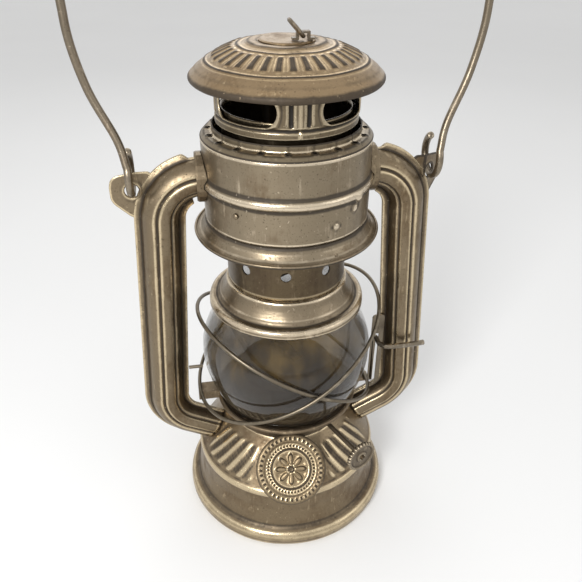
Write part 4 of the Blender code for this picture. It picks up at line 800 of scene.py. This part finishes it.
tube_turns = np.concatenate(((math.pi / 2.0,), upper_turn, np.full(len(middle_way), lean), lower_turn))
tube_square = np.stack((np.cos(tube_turns), np.sin(tube_turns)), axis=1)
degrees = np.degrees(tube_turns)
lean_degrees = math.degrees(lean)
flange_widths = np.array((1.5, 3.0, 3.0, 0.5, 0.5)) * mm
outer_flange = np.interp(degrees, (-62.0, lean_degrees, 76.0, 80.0, 90.0), flange_widths)
inner_flange = np.interp(degrees, (-62.0, lean_degrees, 62.0, 66.0, 90.0), flange_widths)
arc = np.radians(np.linspace(6.5, 173.5, 66))
crease = np.exp(-((np.degrees(arc) - 79.0) / 6.0) ** 2) * 1.2 * mm
crease = crease + np.exp(-((np.degrees(arc) - 128.0) / 5.0) ** 2) * 0.5 * mm
arc_out = np.stack(((tube_radius - crease) * np.cos(arc), (tube_radius - crease) * np.sin(arc)), axis=1)
arc_in = arc_out * (tube_radius - sheet) / tube_radius
seam = 0.15 * mm
thick = 0.95 * mm
outer_lip = np.array(((tube_radius, seam), (tube_radius, thick - 0.15 * mm),
                      (tube_radius - 0.25 * mm, thick)))
inner_lip = outer_lip[::-1] * (-1.0, 1.0)
inner_root = ((-tube_radius + 0.8 * mm, seam),)
outer_root = ((tube_radius - 0.8 * mm, seam),)
section = np.concatenate((outer_lip, arc_out, inner_lip, inner_root, arc_in[::-1], outer_root))
wide_out = np.zeros(len(section))
wide_out[:len(outer_lip)] = 1.0
wide_in = np.zeros(len(section))
wide_in[len(outer_lip) + len(arc_out):][:len(inner_lip)] = 1.0
dome_square = np.array((dome_top - ridge_height, ridge_radius - dome_top_radius))
dome_square /= np.linalg.norm(dome_square)
foot_lift = 0.6 * mm


def to_dome(points, heading):
    """Slide points along a heading until they lie just over the dome's cone, by thirty halvings."""
    low, high = np.zeros(len(points)), np.full(len(points), 40.0 * mm)
    for _ in range(30):
        half = (low + high) / 2.0
        there = points + heading * half[:, None]
        over = (np.hypot(there[:, 0], there[:, 1]) - dome_top_radius) * dome_square[0]
        over = over + (there[:, 2] - dome_top) * dome_square[1] - foot_lift
        low, high = np.where(over > 0.0, half, low), np.where(over > 0.0, high, half)
    return points + heading * low[:, None]


def tube_half(side, face):
    """Section points carried along the tube's axis, then straight down to the dome, and pinched shut
    at both ends by the mean of the outer and inner skin.
    """
    across = section[:, 0] + wide_out * outer_flange[:, None] - wide_in * inner_flange[:, None]
    x = side * (tube_way[:, :1] + tube_square[:, :1] * across)
    z = tube_way[:, 1:] + tube_square[:, 1:] * across
    dent = np.sin(z * 110.0 + side) * np.sin(z * 61.0 + 2.0 * face) * 0.18 * mm
    y = face * section[:, 1] * (1.0 + 0.0 * x) + face * dent * np.clip(section[:, 1] / tube_radius, 0.0, 1.0)
    points = np.stack((x, y, z), axis=2)
    heading = np.array((side * tube_square[-1, 1], 0.0, -tube_square[-1, 0]))
    landed = to_dome(points[-1], heading)
    shares = np.linspace(0.0, 1.0, 14)[1:, None, None]
    points = np.concatenate((points, points[-1] + (landed - points[-1]) * shares))
    mates = points[:, ::-1]
    shut = [((points[i] + mates[i]) / 2.0)[None] for i in (0, -1)]
    return np.concatenate((shut[0], points, shut[1]))


hole = np.array((68.2 * mm, 186.2 * mm))
fold_at, fold_turn = 64.6 * mm, math.radians(38.0)
root_turn = np.radians(np.linspace(4.0, 46.0, 20))
ear_root = tube_top + 29.4 * mm * np.stack((np.cos(root_turn), np.sin(root_turn)), axis=1)
ear_edge = np.array(((60.05, 194.5), (65.9, 194.5), (74.35, 193.2), (76.8, 191.5), (77.6, 188.6),
                     (77.6, 182.7), (76.3, 180.2), (69.8, 174.0))) * mm
ear_outline = spaced(rounded(np.concatenate((ear_root, ear_edge, ear_root[:1])), 1.2 * mm), 0.4 * mm)


def ear_plate(side, fold):
    """Flat ring from the bail hole (row 0) to the ear's outline, read by its turn about the hole, front
    then back; beyond the fold line it is turned to the rear.
    """
    around = ear_outline - hole
    turns = np.arctan2(around[:, 1], around[:, 0])
    order = np.argsort(turns)
    u = np.linspace(-math.pi, math.pi, 160, endpoint=False)
    reach = np.interp(u, turns[order], np.hypot(around[:, 0], around[:, 1])[order], period=math.tau)
    v = np.linspace(0.0, 1.0, 14)[:, None]
    size = 3.1 * mm + (reach - 3.1 * mm) * v
    x, z = hole[0] + size * np.cos(u), hole[1] + size * np.sin(u)
    lip_rise = np.exp(-((size - 3.8 * mm) / (0.5 * mm)) ** 2) * 0.25 * mm
    sides = []
    for y in (-0.9 * mm - lip_rise, -0.2 * mm + 0.0 * lip_rise):
        beyond = np.maximum(x - fold_at, 0.0)
        bent_x = np.where(x > fold_at, fold_at + beyond * math.cos(fold) - y * math.sin(fold), x)
        bent_y = np.where(x > fold_at, beyond * math.sin(fold) + y * math.cos(fold), y)
        sides.append(np.stack((side * bent_x, bent_y, z), axis=2))
    return np.concatenate((sides[0], sides[1][::-1], sides[0][:1]))


tube_tin = aged_tin("tube_tin", (0.6, 0.49, 0.32), (0.2, 0.155, 0.1), (0.105, 0.068, 0.033),
                    rough=0.33, stained=0.6)
for side, label, bent in ((-1.0, "left", 0.0), (1.0, "right", fold_turn)):
    for face, half in ((-1.0, "front"), (1.0, "back")):
        grids = [tube_half(side, face)]
        if face < 0.0:
            grids.append(ear_plate(side, bent))
        tube = skin("side_tube_%s_%s" % (label, half), grids, tube_tin, rows_meet=False)
        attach(tube, "frame")
        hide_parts("tube_%s_%s" % (label, half))
    give("tube_collar_" + label, tube_tin)

# Bail: one length of drawn steel wire, its ends bent to open hooks through the ears. It is a little
# less stained than the sheet metal.


def eased(corners, steps):
    """Catmull-Rom curve through the corners: cubic blends of each four neighbours, all at once."""
    knots = np.concatenate((2 * corners[:1] - corners[1:2], corners, 2 * corners[-1:] - corners[-2:-1]))
    a, b, c, d = (knots[i:len(knots) - 3 + i, None] for i in range(4))
    t = np.linspace(0.0, 1.0, steps, endpoint=False)[None, :, None]
    cubic = 2 * b + (c - a) * t + (2 * a - 5 * b + 4 * c - d) * t ** 2 + (3 * b - a - 3 * c + d) * t ** 3
    return np.concatenate((0.5 * cubic.reshape(-1, corners.shape[1]), corners[-1:]))


bail_axis = 194.1 * mm
hook_radius = 9.0 * mm
hook_turn = np.radians(np.linspace(330.0, 60.0, 60))
hook = np.stack((np.full(60, hole[0]), -hook_radius * np.sin(hook_turn),
                 bail_axis + hook_radius * np.cos(hook_turn)), axis=1)
root = hook[-1]
bail_rise = bail_axis + 104.0 * mm - root[2]
legs = np.array(((0.18, 0.6, 0.12), (0.75, 0.1, 0.33), (1.0, 0.0, 0.58), (0.75, 0.0, 0.83)))
leg = np.stack((hole[0] + 16.0 * mm * legs[:, 0], root[1] * legs[:, 1],
                root[2] + bail_rise * legs[:, 2]), axis=1)
shoulder_spot = np.array(((84.2 * mm * 0.62, 0.0, root[2] + bail_rise * 0.97),))
crown_spot = np.array(((0.0, 0.0, root[2] + bail_rise),))
mirrored = (-1.0, 1.0, 1.0)
arch = eased(np.concatenate((root[None], leg, shoulder_spot, crown_spot, shoulder_spot * mirrored)), 16)
half_bail = np.concatenate((hook[:-1], arch[arch[:, 0] > 0.3 * mm]))
bail_path = np.concatenate((half_bail, crown_spot, half_bail[::-1] * mirrored))
bail_tin = aged_tin("bail_wire_tin", (0.6, 0.52, 0.4), (0.2, 0.165, 0.12), (0.11, 0.075, 0.045),
                    rough=0.34, stained=0.45)
bail = carried("bail_wire", bail_path, 1.7 * mm, bail_tin, around=24)
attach(bail, "bail")
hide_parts("bail")

# Lift: a crank of bent steel wire in a slotted bracket on the right tube, which raises the gallery
# to let the wick be lit; the left side slides on a short guide peg.
lever_tin = aged_tin("lever_wire_tin", (0.62, 0.55, 0.44), (0.18, 0.15, 0.11), (0.1, 0.07, 0.04),
                     rough=0.32, stained=0.45)
for node in ("lift_bracket", "guide_peg", "lift_lever"):
    give(node, lever_tin)

# Ring and staple: a small wire ring under a bent strap on the crown, used to lift the chimney off
# the globe.
for node in ("ring_staple", "lifting_ring"):
    give(node, bail_tin)

# Rivets: low round heads left from fixing the chamber, one small dome each, two on the drum and one on
# its skirt. Each place is radius in mm, turn in degrees, height in mm and size in mm.
rivet_places = ((37.6, -134.0, 183.0, 1.3), (37.6, 46.0, 183.0, 1.3), (41.5, -69.6, 167.6, 0.9))


def rivet_head(radius, turn, height, size):
    """Low dome on the drum: its height falls as a cosine over a quarter turn while its radius grows as
    a sine, and the last ring is shut behind the drum's wall.
    """
    out = np.array((math.cos(math.radians(turn)), math.sin(math.radians(turn)), 0.0))
    side = np.array((-out[1], out[0], 0.0))
    rise = np.linspace(0.0, math.pi / 2.0, 9)[:, None]
    around = np.linspace(0.0, math.tau, 28, endpoint=False)[None]
    reach = size * np.sin(rise)
    up = np.array((0.0, 0.0, 1.0))
    lift = (0.55 * size * np.cos(rise) + 0.0 * around)[:, :, None] * out
    ring = (reach * np.cos(around))[:, :, None] * side + (reach * np.sin(around))[:, :, None] * up
    base = np.array((0.0, 0.0, height)) + out * radius
    dome = base + lift + ring
    return np.concatenate((dome, (base - out * 0.4)[None, None] + 0.0 * dome[:1])) * mm


rivets = skin("drum_rivets", [rivet_head(*place) for place in rivet_places], plate_tin, reach=1)
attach(rivets, "frame")

# Studio: a plain pale floor, one broad soft lamp over the camera's left shoulder, weaker ones on the
# right and behind, and an even white surround that gives metal and glass something plain to mirror.
floor_mesh = bpy.data.meshes.new("studio_floor")
floor_reach = 4.0
floor_corners = [(x * floor_reach, y * floor_reach, 0.0) for x, y in ((-1, -1), (1, -1), (1, 1), (-1, 1))]
floor_mesh.from_pydata(floor_corners, [], [(0, 1, 2, 3)])
floor = bpy.data.objects.new("studio_floor", floor_mesh)
bpy.context.scene.collection.objects.link(floor)
floor_finish, floor_shader, floor_place = new_finish("floor_paper")
floor_tone = floor_place.noise(3.0, 2.0).rise(0.2, 0.8)
floor_tone.tint((0.86, 0.86, 0.855), (0.88, 0.88, 0.875)).into(floor_shader, "Base Color")
floor_shader.inputs["Roughness"].default_value = 0.9
floor_mesh.materials.append(floor_finish)

world = bpy.data.worlds.new("studio")
bpy.context.scene.world = world
world.use_nodes = True
world_nodes = world.node_tree.nodes
light_path = world_nodes.new("ShaderNodeLightPath")
seen_by = Value(world.node_tree, light_path.outputs["Is Camera Ray"])
seen_by = seen_by + Value(world.node_tree, light_path.outputs["Is Glossy Ray"])
seen_by = seen_by + Value(world.node_tree, light_path.outputs["Is Transmission Ray"])
surround = world_nodes["Background"]
surround.inputs["Color"].default_value = (1.0, 1.0, 1.0, 1.0)
(seen_by.maths("MINIMUM", seen_by, 1.0) * 0.3 + 0.7).into(surround, "Strength")

for label, place, size, power in (("key", (-0.36, -0.55, 0.5), 0.24, 4.4),
                                  ("fill", (0.6, -0.35, 0.4), 0.4, 0.4),
                                  ("back", (0.1, 0.6, 0.6), 0.5, 0.8)):
    lamp = bpy.data.lights.new("lamp_" + label, "AREA")
    lamp.size = size
    lamp.energy = power
    lamp_object = bpy.data.objects.new("lamp_" + label, lamp)
    aim = Vector((0.0, 0.0, 0.13)) - Vector(place)
    lamp_object.matrix_world = Matrix.Translation(place) @ aim.to_track_quat("-Z", "Y").to_matrix().to_4x4()
    bpy.context.scene.collection.objects.link(lamp_object)

camera_data = bpy.data.cameras.new("camera")
camera_data.sensor_width = 36.0
camera_data.lens = 38.94
camera_data.clip_start = 0.01
camera = bpy.data.objects.new("camera", camera_data)
bpy.context.scene.collection.objects.link(camera)
camera_place = Matrix.Translation((-0.04629, -0.26224, 0.29676))
camera_roll = Matrix.Rotation(0.00784, 4, "Z")
heading = Vector((0.15415, 0.82892, -0.53771)).to_track_quat("-Z", "Y").to_matrix().to_4x4()
camera.matrix_world = camera_place @ heading @ camera_roll
bpy.context.scene.camera = camera
bpy.context.scene.view_settings.view_transform = "Standard"
